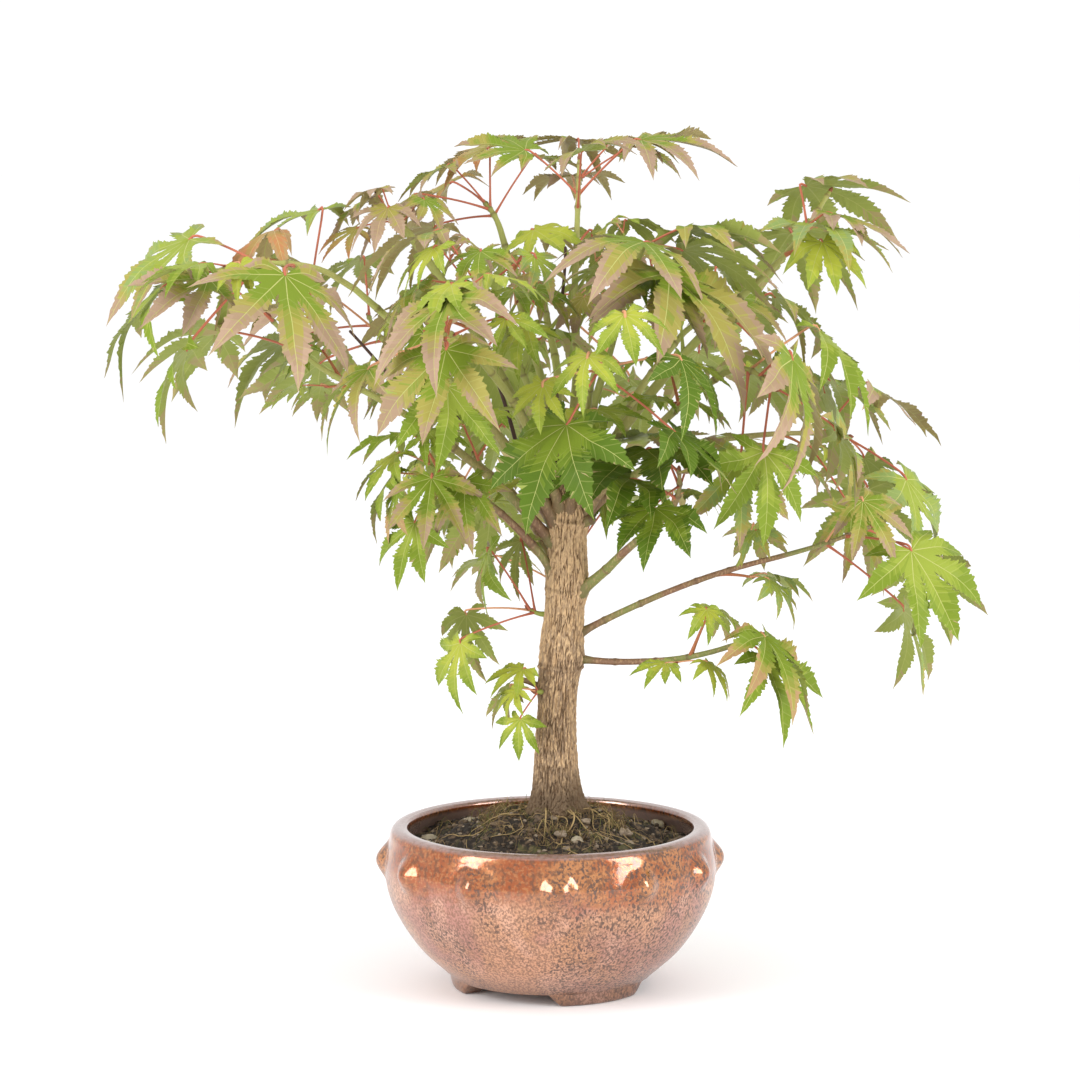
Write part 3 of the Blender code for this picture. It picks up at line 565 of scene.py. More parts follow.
def pebble(corners, centre, size, rng, rough):
    """A ball's points made into a small irregular stone."""
    shift = Vector([rng.uniform(0, 50) for _ in range(3)])
    turn = rng.uniform(0, math.tau)
    points = []
    for v in corners:
        r = 1 + rough * noise.noise(v * 1.3 + shift)
        r += rough * 0.4 * noise.noise(v * 3.1 + shift)
        x, y, z = v.x * r * size[0], v.y * r * size[1], v.z * r * size[2]
        points.append(centre + Vector((x * math.cos(turn) - y * math.sin(turn),
                                       x * math.sin(turn) + y * math.cos(turn), z)))
    return points


# -------- finishes

def new_group(name, inputs, output, kind):
    """An empty node group with these inputs and one output: the group, its input and output nodes."""
    group = bpy.data.node_groups.new(name, "ShaderNodeTree")
    for label, default in inputs.items():
        socket_type = "NodeSocketVector" if hasattr(default, "__len__") else "NodeSocketFloat"
        socket = group.interface.new_socket(label, in_out="INPUT", socket_type=socket_type)
        socket.default_value = default
    group.interface.new_socket(output, in_out="OUTPUT", socket_type=kind)
    return group, group.nodes.new("NodeGroupInput"), group.nodes.new("NodeGroupOutput")


def stretched_noise(group, start):
    """Noise in the piece's own space, at the group's scale and stretch."""
    place = group.nodes.new("ShaderNodeTexCoord")
    stretch = group.nodes.new("ShaderNodeVectorMath")
    stretch.operation = "MULTIPLY"
    cloud = group.nodes.new("ShaderNodeTexNoise")
    group.links.new(place.outputs["Object"], stretch.inputs[0])
    group.links.new(start.outputs["Stretch"], stretch.inputs[1])
    group.links.new(stretch.outputs[0], cloud.inputs["Vector"])
    group.links.new(start.outputs["Scale"], cloud.inputs["Scale"])
    return cloud


def mottle_group():
    """Soft blotches or specks, as a mask from 0 to 1."""
    found = bpy.data.node_groups.get("mottle")
    if found:
        return found
    inputs = {"Scale": 100.0, "Stretch": (1.0, 1.0, 1.0), "Detail": 3.0, "Low": 0.4, "High": 0.6}
    group, start, end = new_group("mottle", inputs, "Mask", "NodeSocketFloat")
    cloud = stretched_noise(group, start)
    ramp = group.nodes.new("ShaderNodeMapRange")
    ramp.interpolation_type = "SMOOTHSTEP"
    link = group.links.new
    link(start.outputs["Detail"], cloud.inputs["Detail"])
    link(cloud.outputs["Fac"], ramp.inputs["Value"])
    link(start.outputs["Low"], ramp.inputs["From Min"])
    link(start.outputs["High"], ramp.inputs["From Max"])
    link(ramp.outputs["Result"], end.inputs["Mask"])
    return group


def relief_group():
    """Fine surface relief from noise, as a normal."""
    found = bpy.data.node_groups.get("fine_relief")
    if found:
        return found
    inputs = {"Scale": 900.0, "Stretch": (1.0, 1.0, 1.0), "Depth": 0.0001}
    group, start, end = new_group("fine_relief", inputs, "Normal", "NodeSocketVector")
    cloud = stretched_noise(group, start)
    cloud.inputs["Detail"].default_value = 4.0
    bump = group.nodes.new("ShaderNodeBump")
    link = group.links.new
    link(cloud.outputs["Fac"], bump.inputs["Height"])
    link(start.outputs["Depth"], bump.inputs["Distance"])
    link(bump.outputs["Normal"], end.inputs["Normal"])
    return group


class Finish:
    """A material, and short ways to wire masks and mixes into its shader."""

    def __init__(self, name, **values):
        self.material = bpy.data.materials.new(name)
        self.material.use_nodes = True
        self.nodes = self.material.node_tree.nodes
        self.link = self.material.node_tree.links.new
        self.shader = self.nodes["Principled BSDF"]
        for label, value in values.items():
            socket = self.shader.inputs[label.replace("_", " ").title().replace("Ior", "IOR")]
            socket.default_value = (*value, 1.0) if hasattr(value, "__len__") else value

    def grouped(self, group, values):
        """A node group placed with its own values."""
        node = self.nodes.new("ShaderNodeGroup")
        node.node_tree = group
        for label, value in values.items():
            node.inputs[label].default_value = value
        return node

    def mask(self, scale, low, high, stretch=(1.0, 1.0, 1.0), detail=3.0):
        """A mottled mask."""
        values = {"Scale": scale, "Stretch": stretch, "Detail": detail, "Low": low, "High": high}
        return self.grouped(mottle_group(), values).outputs["Mask"]

    def relief(self, scale, depth, stretch=(1.0, 1.0, 1.0)):
        """Give the surface a fine relief."""
        values = {"Scale": scale, "Stretch": stretch, "Depth": depth}
        self.link(self.grouped(relief_group(), values).outputs["Normal"], self.shader.inputs["Normal"])

    def level(self, axis, low, high):
        """A mask that rises along one axis of the piece's space."""
        place = self.nodes.new("ShaderNodeTexCoord")
        split = self.nodes.new("ShaderNodeSeparateXYZ")
        self.link(place.outputs["Object"], split.inputs[0])
        return self.span(split.outputs[axis], low, high)

    def span(self, value, low, high, to_low=0.0, to_high=1.0):
        """Map a value's range to another."""
        ramp = self.nodes.new("ShaderNodeMapRange")
        self.link(value, ramp.inputs["Value"])
        ends = {"From Min": low, "From Max": high, "To Min": to_low, "To Max": to_high}
        for label, end in ends.items():
            ramp.inputs[label].default_value = end
        return ramp.outputs["Result"]

    def painted(self):
        """The value painted on the mesh's points."""
        node = self.nodes.new("ShaderNodeAttribute")
        node.attribute_name = "paint"
        return node.outputs["Fac"]

    def times(self, a, b):
        """The product of two masks, the second of which may be a number."""
        node = self.nodes.new("ShaderNodeMath")
        node.operation = "MULTIPLY"
        self.link(a, node.inputs[0])
        if isinstance(b, float):
            node.inputs[1].default_value = b
        else:
            self.link(b, node.inputs[1])
        return node.outputs[0]

    def mix(self, mask, a, b):
        """A mix of two colours, each a colour or a socket."""
        node = self.nodes.new("ShaderNodeMix")
        node.data_type = "RGBA"
        self.link(mask, node.inputs["Factor"])
        for socket, value in ((node.inputs[6], a), (node.inputs[7], b)):
            if isinstance(value, bpy.types.NodeSocket):
                self.link(value, socket)
            else:
                socket.default_value = (*value, 1.0)
        return node.outputs[2]

    def drive(self, label, value):
        """Feed a value or a colour into one of the shader's inputs."""
        self.link(value, self.shader.inputs[label])


# Heights in the glaze where one zone fades into the next, from where it starts to where it is full
SHOULDER_FADE = (0.0425, 0.0500)
RUNS_FADE = (0.0375, 0.0450)
LIP_FADE = (0.0604, 0.0616)
FOOT_FADE = (0.0120, 0.0020)
SPECKLED_SIDE = (-0.025, 0.030)  # from left to right, where the specks crowd
GLAZE_ROUGHNESS = (0.42, 0.16)  # of the lower wall, and of the shoulder
FLAT_SPOTS = (1.0, 1.0, 0.7)  # stretches of noise
LONG_PLATES = (1.0, 1.0, 0.4)


def glaze_finish(s):
    """Copper glaze: glossy at the shoulder, pinkish and speckled below, worn on the lip, and paler inside
    the lip as a painted reflection.
    """
    f = Finish("copper_glaze", metallic=0.5, coat_weight=0.55, coat_ior=1.6, coat_roughness=0.05)
    scale = s.speckle_scale
    bloom = f.mask(34.0, 0.46, 0.62)
    warm = f.mask(52.0, 0.45, 0.66)
    grain = f.mask(scale * 1.3, 0.42, 0.60, (1.0, 1.0, 0.8), 6.0)
    speck = f.mask(scale, 0.52, 0.58, FLAT_SPOTS, 4.0)
    zone = f.mask(48.0, 0.42, 0.62)
    haze = f.mask(75.0, 0.50, 0.66, FLAT_SPOTS, 6.0)
    cloud = f.mask(26.0, 0.50, 0.70)
    body = f.mix(f.times(bloom, 0.65), s.body, s.bloom)
    body = f.mix(f.times(warm, 0.55), body, s.ochre)
    body = f.mix(f.times(haze, 0.6), body, s.haze)
    body = f.mix(f.times(cloud, 0.35), body, s.grain)
    body = f.mix(f.times(grain, 0.75), body, s.grain)
    flecks = f.mask(scale * 0.9, 0.50, 0.60, detail=5.0)
    dark_flecks = f.mask(scale * 0.55, 0.47, 0.62, detail=6.0)
    band = f.mix(f.times(warm, 0.65), s.band, s.ochre)
    band = f.mix(f.times(flecks, 0.45), band, s.ochre)
    band = f.mix(f.times(dark_flecks, 0.75), band, s.umber)
    shoulder = f.level("Z", *SHOULDER_FADE)
    runs = f.times(f.level("Z", *RUNS_FADE), f.mask(42.0, 0.50, 0.60, detail=4.0))
    colour = f.mix(shoulder, f.mix(f.times(runs, 0.75), body, band), band)
    colour = f.mix(f.times(f.times(speck, zone), 0.85), colour, s.speckle)
    colour = f.mix(f.times(f.times(speck, f.level("X", *SPECKLED_SIDE)), 0.9), colour, s.speckle)
    # painted reflection: the inside of the lip, marked by the mesh's paint, turns paler
    colour = f.mix(f.times(f.painted(), 0.85), colour, s.inner)
    worn = f.mix(f.times(f.mask(scale * 0.7, 0.45, 0.62), 0.5), s.rim, s.grain)
    colour = f.mix(f.times(f.level("Z", *LIP_FADE), 0.85), colour, worn)
    colour = f.mix(f.times(f.level("Z", *FOOT_FADE), 0.6), colour, s.speckle)
    f.drive("Base Color", colour)
    f.drive("Roughness", f.span(shoulder, 0.0, 1.0, *GLAZE_ROUGHNESS))
    f.relief(scale * 0.6, 0.00006)
    return f.material


def earth_finish(s):
    """Dark, moist soil with paler crumbs."""
    f = Finish("earth", roughness=0.92)
    colour = f.mix(f.mask(420.0, 0.50, 0.64, detail=5.0), s.earth, s.crumb)
    f.drive("Base Color", f.mix(f.times(f.mask(160.0, 0.55, 0.68), 0.5), colour, s.moss))
    f.relief(1500.0, 0.0003)
    return f.material


def stone_finish(name, colour, dark):
    """A pebble's mottled surface."""
    f = Finish(name, roughness=0.8)
    f.drive("Base Color", f.mix(f.times(f.mask(700.0, 0.4, 0.65, detail=5.0), 0.5), colour, dark))
    f.relief(1800.0, 0.00015)
    return f.material


UPPER_BARK = (0.125, 0.180)  # where the trunk's plates turn paler
BASAL_RISE = (0.019, 0.006)  # above the soil, where the bark turns darker towards the bottom
GREEN_SHOOTS = (0.180, 0.230)  # where the boughs turn fresh green


def bark_finish(s):
    """Old bark: tan plates with a painted highlight on their raised tops, dark cracks that are partly
    painted shade, and grey patches.
    """
    f = Finish("old_bark", roughness=0.85)
    soil_top = SOIL_MOUND[0][1]
    basal = f.level("Z", *(soil_top + rise for rise in BASAL_RISE))
    # the mesh's paint: the cracks' darkness, partly painted shade, and below zero a painted highlight
    dark_cracks_and_highlight = f.painted()
    plate = f.mix(f.mask(1500.0, 0.36, 0.62, (1.0, 1.0, 0.14), 6.0), s.ridge, s.grey)
    plate = f.mix(f.times(f.mask(70.0, 0.45, 0.62), 0.55), plate, s.grey)
    plate = f.mix(f.times(f.level("Z", *UPPER_BARK), 0.75), plate, s.pale)
    # painted highlight: the plates' raised tops turn pale
    plate = f.mix(f.span(dark_cracks_and_highlight, 0.0, -0.6, 0.0, 0.8), plate, s.pale)
    # darker towards the bottom, just above the soil
    plate = f.mix(f.times(basal, 0.9), plate, s.basal)
    f.drive("Base Color", f.mix(dark_cracks_and_highlight, plate, s.hollow))
    f.relief(2200.0, 0.00040, (1.0, 1.0, 0.25))
    return f.material


def limb_finish(s):
    """Young bark: olive green with brown and reddish stretches."""
    f = Finish("young_bark", roughness=0.6)
    colour = f.mix(f.mask(45.0, 0.42, 0.60), s.green, s.brown)
    colour = f.mix(f.times(f.mask(1300.0, 0.5, 0.66, LONG_PLATES, 4.0), 0.5), colour, s.ridge)
    colour = f.mix(f.times(f.level("Z", *GREEN_SHOOTS), 0.8), colour, s.shoot)
    f.drive("Base Color", f.mix(f.painted(), colour, s.hollow))
    f.relief(2400.0, 0.00008, LONG_PLATES)
    return f.material


def plain_finish(name, colour, roughness, grain=1500.0, depth=0.00006):
    """One of the plant's plain colours, with its own fine relief and uneven gloss."""
    f = Finish(name, base_color=colour, specular_ior_level=0.15)
    gloss = f.mask(grain * 0.3, 0.3, 0.7)
    f.drive("Roughness", f.span(gloss, 0.0, 1.0, roughness - 0.08, roughness + 0.1))
    f.relief(grain, depth)
    return f.material


# -------- growth, by the rule of the solids

def trunk_centre(height):
    """The middle of the trunk at a height above the ground."""
    start, rise = TRUNK_CURVE
    up = min(max((height - TRUNK_FOOT - start) / rise, 0.0), 1.0)
    lean = TRUNK_LEAN * up * up * (3 - 2 * up)
    return Vector((TRUNK_FOOT_X + lean, TRUNK_SWAY * math.sin(math.pi * up), height))


def trunk_radius(height, angle=0.0):
    """The trunk's radius at a height, and at an angle near its flared foot."""
    h = height - TRUNK_FOOT
    share = min(max(h / TRUNK_HEIGHT, 0.0), 1.0)
    radius = TRUNK_RADII[0] + (TRUNK_RADII[1] - TRUNK_RADII[0]) * share
    for at, bulge, spread in KNOTS:
        radius += bulge * math.exp(-((h - at) / spread) ** 2)
    single, threes = ROOT_RELIEF
    roots = 1 + single * math.cos(ROOT_COUNT * angle + ROOT_PHASE) + threes * math.cos(3 * angle)
    return radius + FLARE * roots * math.exp(-max(h, 0.0) / FLARE_HEIGHT)


def bough_path(row):
    """A bough's middle line, from near the trunk's middle to its tip."""
    rng = random.Random(row.node)
    start = trunk_centre(row.foot) + direction(row.heading, 0) * BOUGH_START
    end = direction(row.heading, 0) * row.reach + Vector((0, 0, row.tip))
    chord = end - start
    level = Vector((-chord.y, chord.x, 0)).normalized()
    above = chord.cross(level).normalized()
    above = above if above.z > 0 else -above
    path = bend(start, (start + end) / 2 + above * row.bow * 2, end, BOUGH_POINTS)
    phase, crook = rng.uniform(0, math.tau), rng.uniform(*CROOK)
    for i, point in enumerate(path):
        share = i / (BOUGH_POINTS - 1)
        point += level * crook * math.sin(phase + share * CROOK_WAVE) * math.sin(math.pi * share)
    return path


def spray_start(row):
    """Where a spray's stem starts and the way it leads."""
    if row.name in TRUNK_SPRAY_HEIGHTS:
        height = TRUNK_SPRAY_HEIGHTS[row.name]
        lead = direction(row.heading, 0)
        bark = trunk_radius(height, math.radians(row.heading))
        return trunk_centre(height) + lead * (bark + TRUNK_GAP), lead
    path = bough_path(next(bough for bough in BOUGHS if bough.name == row.name))
    lead = slope(path, len(path) - 1)
    return path[-1] + lead * GAP, lead


def stem_path(row, start, lead):
    """A spray's stem: it leaves along lead and ends at the row's heading and rise."""
    end = start + direction(row.heading, row.rise) * row.length
    return bend(start, start + lead * row.length * STEM_START, end, STEM_POINTS)


def blade_lie(turn, droop, roll):
    """The axis and the normal of a leaf, from its angles in degrees."""
    axis, across, roll = direction(turn, -droop), direction(turn + 90, 0), math.radians(roll)
    return axis, axis.cross(across) * math.cos(roll) + across * math.sin(roll)


def leaf_place(row, rng, joint, side, stem, attempt):
    """A leaf's place: its stalk's points, and its axis, normal, size and sag."""
    share = (joint + 1) / row.pairs
    at = (JOINTS[0] + (JOINTS[1] - JOINTS[0]) * share) * (len(stem) - 1)
    step = min(int(at), len(stem) - 2)
    foot = stem[step].lerp(stem[step + 1], at - step)
    along = (stem[step + 1] - stem[step]).normalized()
    level = level_across(along)
    above = along.cross(level)
    around = row.twist + 90 * (row.pairs - 1 - joint) + 180 * side
    around += rng.uniform(-1, 1) * STALK_TURN_VARY
    around = math.radians(around + RETRY_TURN * attempt * (-1) ** attempt)
    lean = STALK_LEAN[0] - STALK_LEAN[1] * share + rng.uniform(-1, 1) * STALK_LEAN_VARY
    lean = math.radians(lean + RETRY_LEAN * (attempt % 3 - 1) * (attempt > 0))
    head = along * math.cos(lean) + (level * math.cos(around) + above * math.sin(around)) * math.sin(lean)
    head = (head + UP * STALK_LIFT).normalized()
    reach = row.stalk * (STALK_LENGTH[0] - STALK_LENGTH[1] * share) * rng.uniform(*STALK_VARY)
    base = foot + head * reach - UP * reach * STALK_BOW
    stalk = bend(foot, foot + head * reach / 2, base, STALK_POINTS)
    outward = Vector((base.x - TRUNK_FOOT_X, base.y, 0)).normalized()
    level_head = (Vector((head.x, head.y, 0)) + outward * OUTWARD_PULL).normalized()
    turn = math.degrees(math.atan2(level_head.y, level_head.x)) + rng.uniform(-1, 1) * LEAF_TURN_VARY
    droop = row.droop + rng.uniform(*LEAF_DROOP_VARY) - LEAF_LIFT * math.degrees(math.asin(head.z))
    axis, normal = blade_lie(turn, droop, rng.uniform(-1, 1) * LEAF_ROLL_VARY)
    size = row.leaf * (LEAF_SIZE[0] + LEAF_SIZE[1] * share) * rng.uniform(*LEAF_VARY)
    size *= 1 - RETRY_SIZE * attempt
    return stalk, axis, normal, size, rng.uniform(*LEAF_SAG)


class Leaf(NamedTuple):
    """One leaf on its stalk."""
    spray: str
    stalk: list
    axis: Vector
    normal: Vector
    size: float
    sag: float
    seed: float


def tip_of(leaf, lobe):
    """Where the tip of one lobe of a leaf is."""
    a, reach = math.radians(LOBE_ANGLES[lobe]), LOBE_LENGTHS[lobe]
    across = leaf.normal.cross(leaf.axis)
    flat = (leaf.axis * math.cos(a) + across * math.sin(a)) * reach * leaf.size
    hang = leaf.normal * leaf.sag * leaf.size * reach * reach
    return leaf_foot(leaf) + flat - hang


def leaf_foot(leaf):
    """The middle of a leaf, from which its lobes spread, just past its stalk's end."""
    return leaf.stalk[-1] + leaf.axis * leaf.size * LEAF_FOOT


def grown_leaves(row):
    """A spray's leaves: of each leaf's tries, the one whose tips the solid has."""
    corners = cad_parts[row.node].data.vertices
    tree = KDTree(len(corners))
    for i, v in enumerate(corners):
        tree.insert(v.co, i)
    tree.balance()
    rng = random.Random(row.seed)
    stem = stem_path(row, *spray_start(row))
    leaves = []
    for joint in range(row.pairs):
        for side in (0, 1):
            draw = rng.random()
            for attempt in range(TRIES):
                place = leaf_place(row, random.Random(draw), joint, side, stem, attempt)
                leaf = Leaf(row.name, *place, draw)
                if all(tree.find(tip_of(leaf, lobe))[2] < FOUND for lobe in CHECKED_LOBES):
                    leaves.append(leaf)
                    break
    return leaves


# -------- leaves

# Columns of points across a lobe: on top from its low edge to its high one, then underneath
LOW_EDGE, LOW_SWELL, LOW_VEIN, HIGH_VEIN, HIGH_SWELL, HIGH_EDGE = range(6)
LOW_VEIN_BELOW, HIGH_VEIN_BELOW, LOW_EDGE_BELOW, HIGH_EDGE_BELOW = range(6, 10)
COLUMNS = 10
OUTER_STRIP = 2  # the strips on top count from the midrib, from -2 to 2
BELOW_STRIPS = (
    (LOW_VEIN_BELOW, LOW_EDGE_BELOW), (HIGH_EDGE_BELOW, HIGH_VEIN_BELOW), (HIGH_VEIN_BELOW, LOW_VEIN_BELOW),
)


def lobe_rows(teeth):
    """Rows along a lobe's free part: share of its length, how far the margin stands out, side vein."""
    rows = []
    for tooth in range(teeth):
        first, last = (TOOTHED * (i / teeth) ** TOOTH_CROWDING for i in (tooth, tooth + 1))
        rows += [(first + (last - first) * share, out, vein) for share, out, vein in TOOTH]
    return rows + [(share, 0.0, False) for share in TIP_ROWS]


# Kinds of a leaf's faces
TOP, VEIN, SIDE_VEIN, BELOW, SIDE_VEIN_BELOW, VEIN_BELOW = range(6)


class LeafForm:
    """How a leaf's points join up: its faces, and what each face is."""

    def __init__(self, teeth_of_lobes):
        self.rows = [lobe_rows(teeth) for teeth in teeth_of_lobes]
        names, faces, marks = [], [], []  # a mark: lobe, share of its length, kind, strip
        for lobe, rows in enumerate(self.rows):
            total = WEB_ROWS + len(rows)
            first = len(names)
            for r in range(total):
                for c in range(COLUMNS):
                    names.append(self.corner(lobe, r, c, total))
            for r in range(total - 1):
                a, b = first + r * COLUMNS, first + (r + 1) * COLUMNS
                along = (r + 0.5) / (total - 1)
                side_vein = r >= WEB_ROWS and rows[r - WEB_ROWS][2]
                for c in range(HIGH_EDGE):
                    kind = VEIN if c == LOW_VEIN else SIDE_VEIN if side_vein else TOP
                    faces.append((a + c, b + c, b + c + 1, a + c + 1))
                    marks.append((lobe, along, kind, c - LOW_VEIN))
                faces += [(a + p, b + p, b + q, a + q) for p, q in BELOW_STRIPS]
                low = SIDE_VEIN_BELOW if side_vein else BELOW
                marks += [(lobe, along, low, -1), (lobe, along, low, 1), (lobe, along, VEIN_BELOW, 0)]
        ids = {}
        self.merged = np.array([ids.setdefault(name, len(ids)) for name in names])
        self.first = np.unique(self.merged, return_index=True)[1]
        merged_faces = [[int(self.merged[i]) for i in face] for face in faces]
        self.quads, q, self.threes, t = triangles(merged_faces)
        marks = np.array(marks, float)
        self.marks = np.concatenate([marks[q], marks[t]])

    @staticmethod
    def corner(lobe, r, c, total):
        """A point's name. Points of neighbouring lobes with the same name are one point."""
        if r == 0:
            return "under" if c > HIGH_EDGE else "middle"
        if r == total - 1:
            return ("tip", lobe)
        low = c in (LOW_EDGE, LOW_EDGE_BELOW) and lobe > 0
        high = c in (HIGH_EDGE, HIGH_EDGE_BELOW) and lobe < len(LOBE_ANGLES) - 1
        if r <= WEB_ROWS and (low or high):
            return ("cut", lobe - 1 if low else lobe, r, c >= LOW_EDGE_BELOW and r < WEB_ROWS)
        return (lobe, r, {LOW_EDGE_BELOW: LOW_EDGE, HIGH_EDGE_BELOW: HIGH_EDGE}.get(c, c))


def cut_places(rng, angles, deep):
    """Angles and distances of the cuts between lobes and of the edges beside the stalk."""
    cuts = [(angles[0] - HEEL_NOTCH[0], HEEL_NOTCH[1])]
    for i in range(len(angles) - 1):
        inner = max(LOBE_LENGTHS[i], LOBE_LENGTHS[i + 1])
        far = NOTCH * (NOTCH_EVEN + (1 - NOTCH_EVEN) * inner) * deep * rng.uniform(0.9, 1.1)
        cuts.append(((angles[i] + angles[i + 1]) / 2, far))
    return cuts + [(angles[-1] + HEEL_NOTCH[0], HEEL_NOTCH[1])]


def half_width(s, start, base, widest):
    """Half the width of a lobe at shares s of its length, from its cut to its tip."""
    rise = smooth((s - start) / (LOBE_WIDEST - start))
    fall = np.clip((s - LOBE_WIDEST) / (1 - LOBE_WIDEST), 0.0, 1.0)
    return (base + (widest - base) * rise) * (1 - fall) ** TIP_TAPER * (1 + TIP_TAPER * fall)


# How a leaf's lobes bend, as shares of its size
LEAST_WIDTH = 0.45  # of the shortest lobe, as a share of the middle one's
CURL_START = 0.35
FREED_OVER = 0.35  # over which a lobe comes free of the web
VEIN_THINNING = 0.7
VEIN_LIMIT = 0.3  # greatest share of the blade
VEIN_BELOW_WIDTH = 1.5  # as a share of its width on top
TOOTH_LIFT = 0.04
AT_MARGIN = 0.9  # the share of the half width that moves with the teeth
VEIN_SUNK = 0.35  # depth of the midrib, as a share of the swell
SWELL_SHORE = 0.2  # the swell at a side vein, likewise
FLAT_TOOTH = 0.08  # a side vein ends where the margin is further out


def tooth_line(rows, rng):
    """How far a lobe's margin stands out, row by row, from the web to the tip."""
    nth = np.arange(len(rows)) // len(TOOTH)
    sizes = []
    for i in range(nth[-1] + 1):
        sizes.append(rng.uniform(0.5, 1.3) * (BIG_TEETH if i % 2 else 2 - BIG_TEETH))
    tooth = np.array([row[1] for row in rows]) * np.array(sizes)[nth]
    comb = np.concatenate([np.zeros(WEB_ROWS), tooth])
    comb[WEB_ROWS] = 0.0
    return comb


def lobe_edge(cut, angle, far, widest, free):
    """One edge of a lobe: how far along and out its rows lie, and where its cut ends."""
    off = math.radians(cut[0] - angle)
    start, base = cut[1] * math.cos(off), cut[1] * abs(math.sin(off))
    web = np.arange(WEB_ROWS) / WEB_ROWS
    along = start + (far - start) * free
    wide = half_width(along / far, start / far, base, widest)
    return np.concatenate([start * web, along]), np.concatenate([base * web, wide]), start


def lobe_grid(low, high, comb, far):
    """A flat lobe's points in rows and columns: how far along it, and how far across."""
    (low_along, low_out, _), (high_along, high_out, _) = low, high
    half = (low_out + high_out) / 2
    mid = (low_along + high_along) / 2 - VEIN_SLANT * half
    mid[0], mid[-1] = 0.0, far
    mid = np.maximum.accumulate(mid)
    vein = np.minimum(VEIN_HALF_WIDTH * (1 - VEIN_THINNING * mid / far), VEIN_LIMIT * half)
    vein[0] = 0.0
    low_edge = (low_along, -low_out * (1 + comb))
    high_edge = (high_along, high_out * (1 + comb))
    columns = (
        low_edge,
        (mid + (low_along - mid) * RIB_COLUMN, -low_out * RIB_COLUMN),
        (mid, -vein),
        (mid, vein),
        (mid + (high_along - mid) * RIB_COLUMN, high_out * RIB_COLUMN),
        high_edge,
        (mid, -vein * VEIN_BELOW_WIDTH),
        (mid, vein * VEIN_BELOW_WIDTH),
        low_edge,
        high_edge,
    )
    return [np.stack([column[i] for column in columns], axis=1) for i in (0, 1)]


def lobe_swell(comb, lengthwise):
    """How the blade swells between its side veins and sinks at its midrib."""
    swell = np.zeros_like(lengthwise)
    bulge = np.where(comb > FLAT_TOOTH, 0.0, 1.0)[:, None] * np.clip((1 - lengthwise) * 3, 0, 1)
    for column in (LOW_SWELL, HIGH_SWELL):
        swell[:, column] = (SWELL * bulge)[:, column]
    swell[:, (LOW_VEIN, HIGH_VEIN)] = -SWELL * VEIN_SUNK
    return swell


def leaf_points(form, leaf, wide=1.0, deep=1.0):
    """The points of one leaf, lobe by lobe: flat first, then folded, twisted and hung.

    The fold lifts the leaf's two halves, a keel those of one lobe. The waves have a depth and are steep.
    """
    rng = random.Random(leaf.seed + 0.5)
    angles = [a + rng.uniform(-3, 3) for a in LOBE_ANGLES]
    cuts = cut_places(rng, angles, deep)
    fold, phase = rng.uniform(-0.04, 0.30), rng.uniform(0, math.tau)
    depth, steep = rng.uniform(0.006, 0.018), rng.uniform(5, 9)
    lobes = []
    for lobe, (angle, rows) in enumerate(zip(angles, form.rows)):
        far = LOBE_LENGTHS[lobe] * rng.uniform(0.94, 1.03)
        broad = LEAST_WIDTH + (1 - LEAST_WIDTH) * LOBE_LENGTHS[lobe]
        widest = LOBE_HALF_WIDTH * wide * rng.uniform(0.9, 1.12) * broad
        twist, bow = rng.uniform(-0.8, 0.8), rng.uniform(-0.13, 0.13)
        curl, keel = rng.uniform(0.0, 0.62), rng.uniform(-0.05, 0.42)
        comb = tooth_line(rows, rng)
        free = np.array([row[0] for row in rows])
        low, high = (lobe_edge(cut, angle, far, widest, free) for cut in cuts[lobe:lobe + 2])
        a, v = lobe_grid(low, high, comb, far)
        freed = smooth((a - (low[2] + high[2]) / 2) / (FREED_OVER * far))
        lengthwise = np.clip(a / far, 0, 1)
        side = v + bow * freed * lengthwise ** 2
        turn = math.radians(angle)
        x = a * math.cos(turn) - side * math.sin(turn)
        y = a * math.sin(turn) + side * math.cos(turn)
        z = -leaf.sag * (x * x + y * y) + (fold + keel * freed) * np.abs(v)
        z += twist * v * freed * lengthwise
        swell = lobe_swell(comb, lengthwise)
        z += swell - curl * freed * np.clip(lengthwise - CURL_START, 0, 1) ** 2
        z += depth * np.sin(steep * x * 2 + phase) * np.sin(steep * y + phase * 2) * lengthwise
        margin = np.abs(v) > AT_MARGIN * np.maximum(low[1], high[1])[:, None]
        z += TOOTH_LIFT * comb[:, None] * margin * freed
        for rib, edge in ((LOW_SWELL, LOW_EDGE), (HIGH_SWELL, HIGH_EDGE)):
            between_veins = z[:, LOW_VEIN] * (1 - RIB_COLUMN) + z[:, edge] * RIB_COLUMN
            z[:, rib] = between_veins + swell[:, rib] + SWELL * SWELL_SHORE
        z[:, LOW_VEIN_BELOW:] -= BLADE / leaf.size
        z[-1] = z[-1, 0]
        lobes.append(np.stack([x.ravel(), y.ravel(), z.ravel()], axis=1))
    across = leaf.normal.cross(leaf.axis)
    points = np.concatenate(lobes)[form.first] * leaf.size
    return np.array(leaf_foot(leaf)) + points @ np.array([leaf.axis, across, leaf.normal])


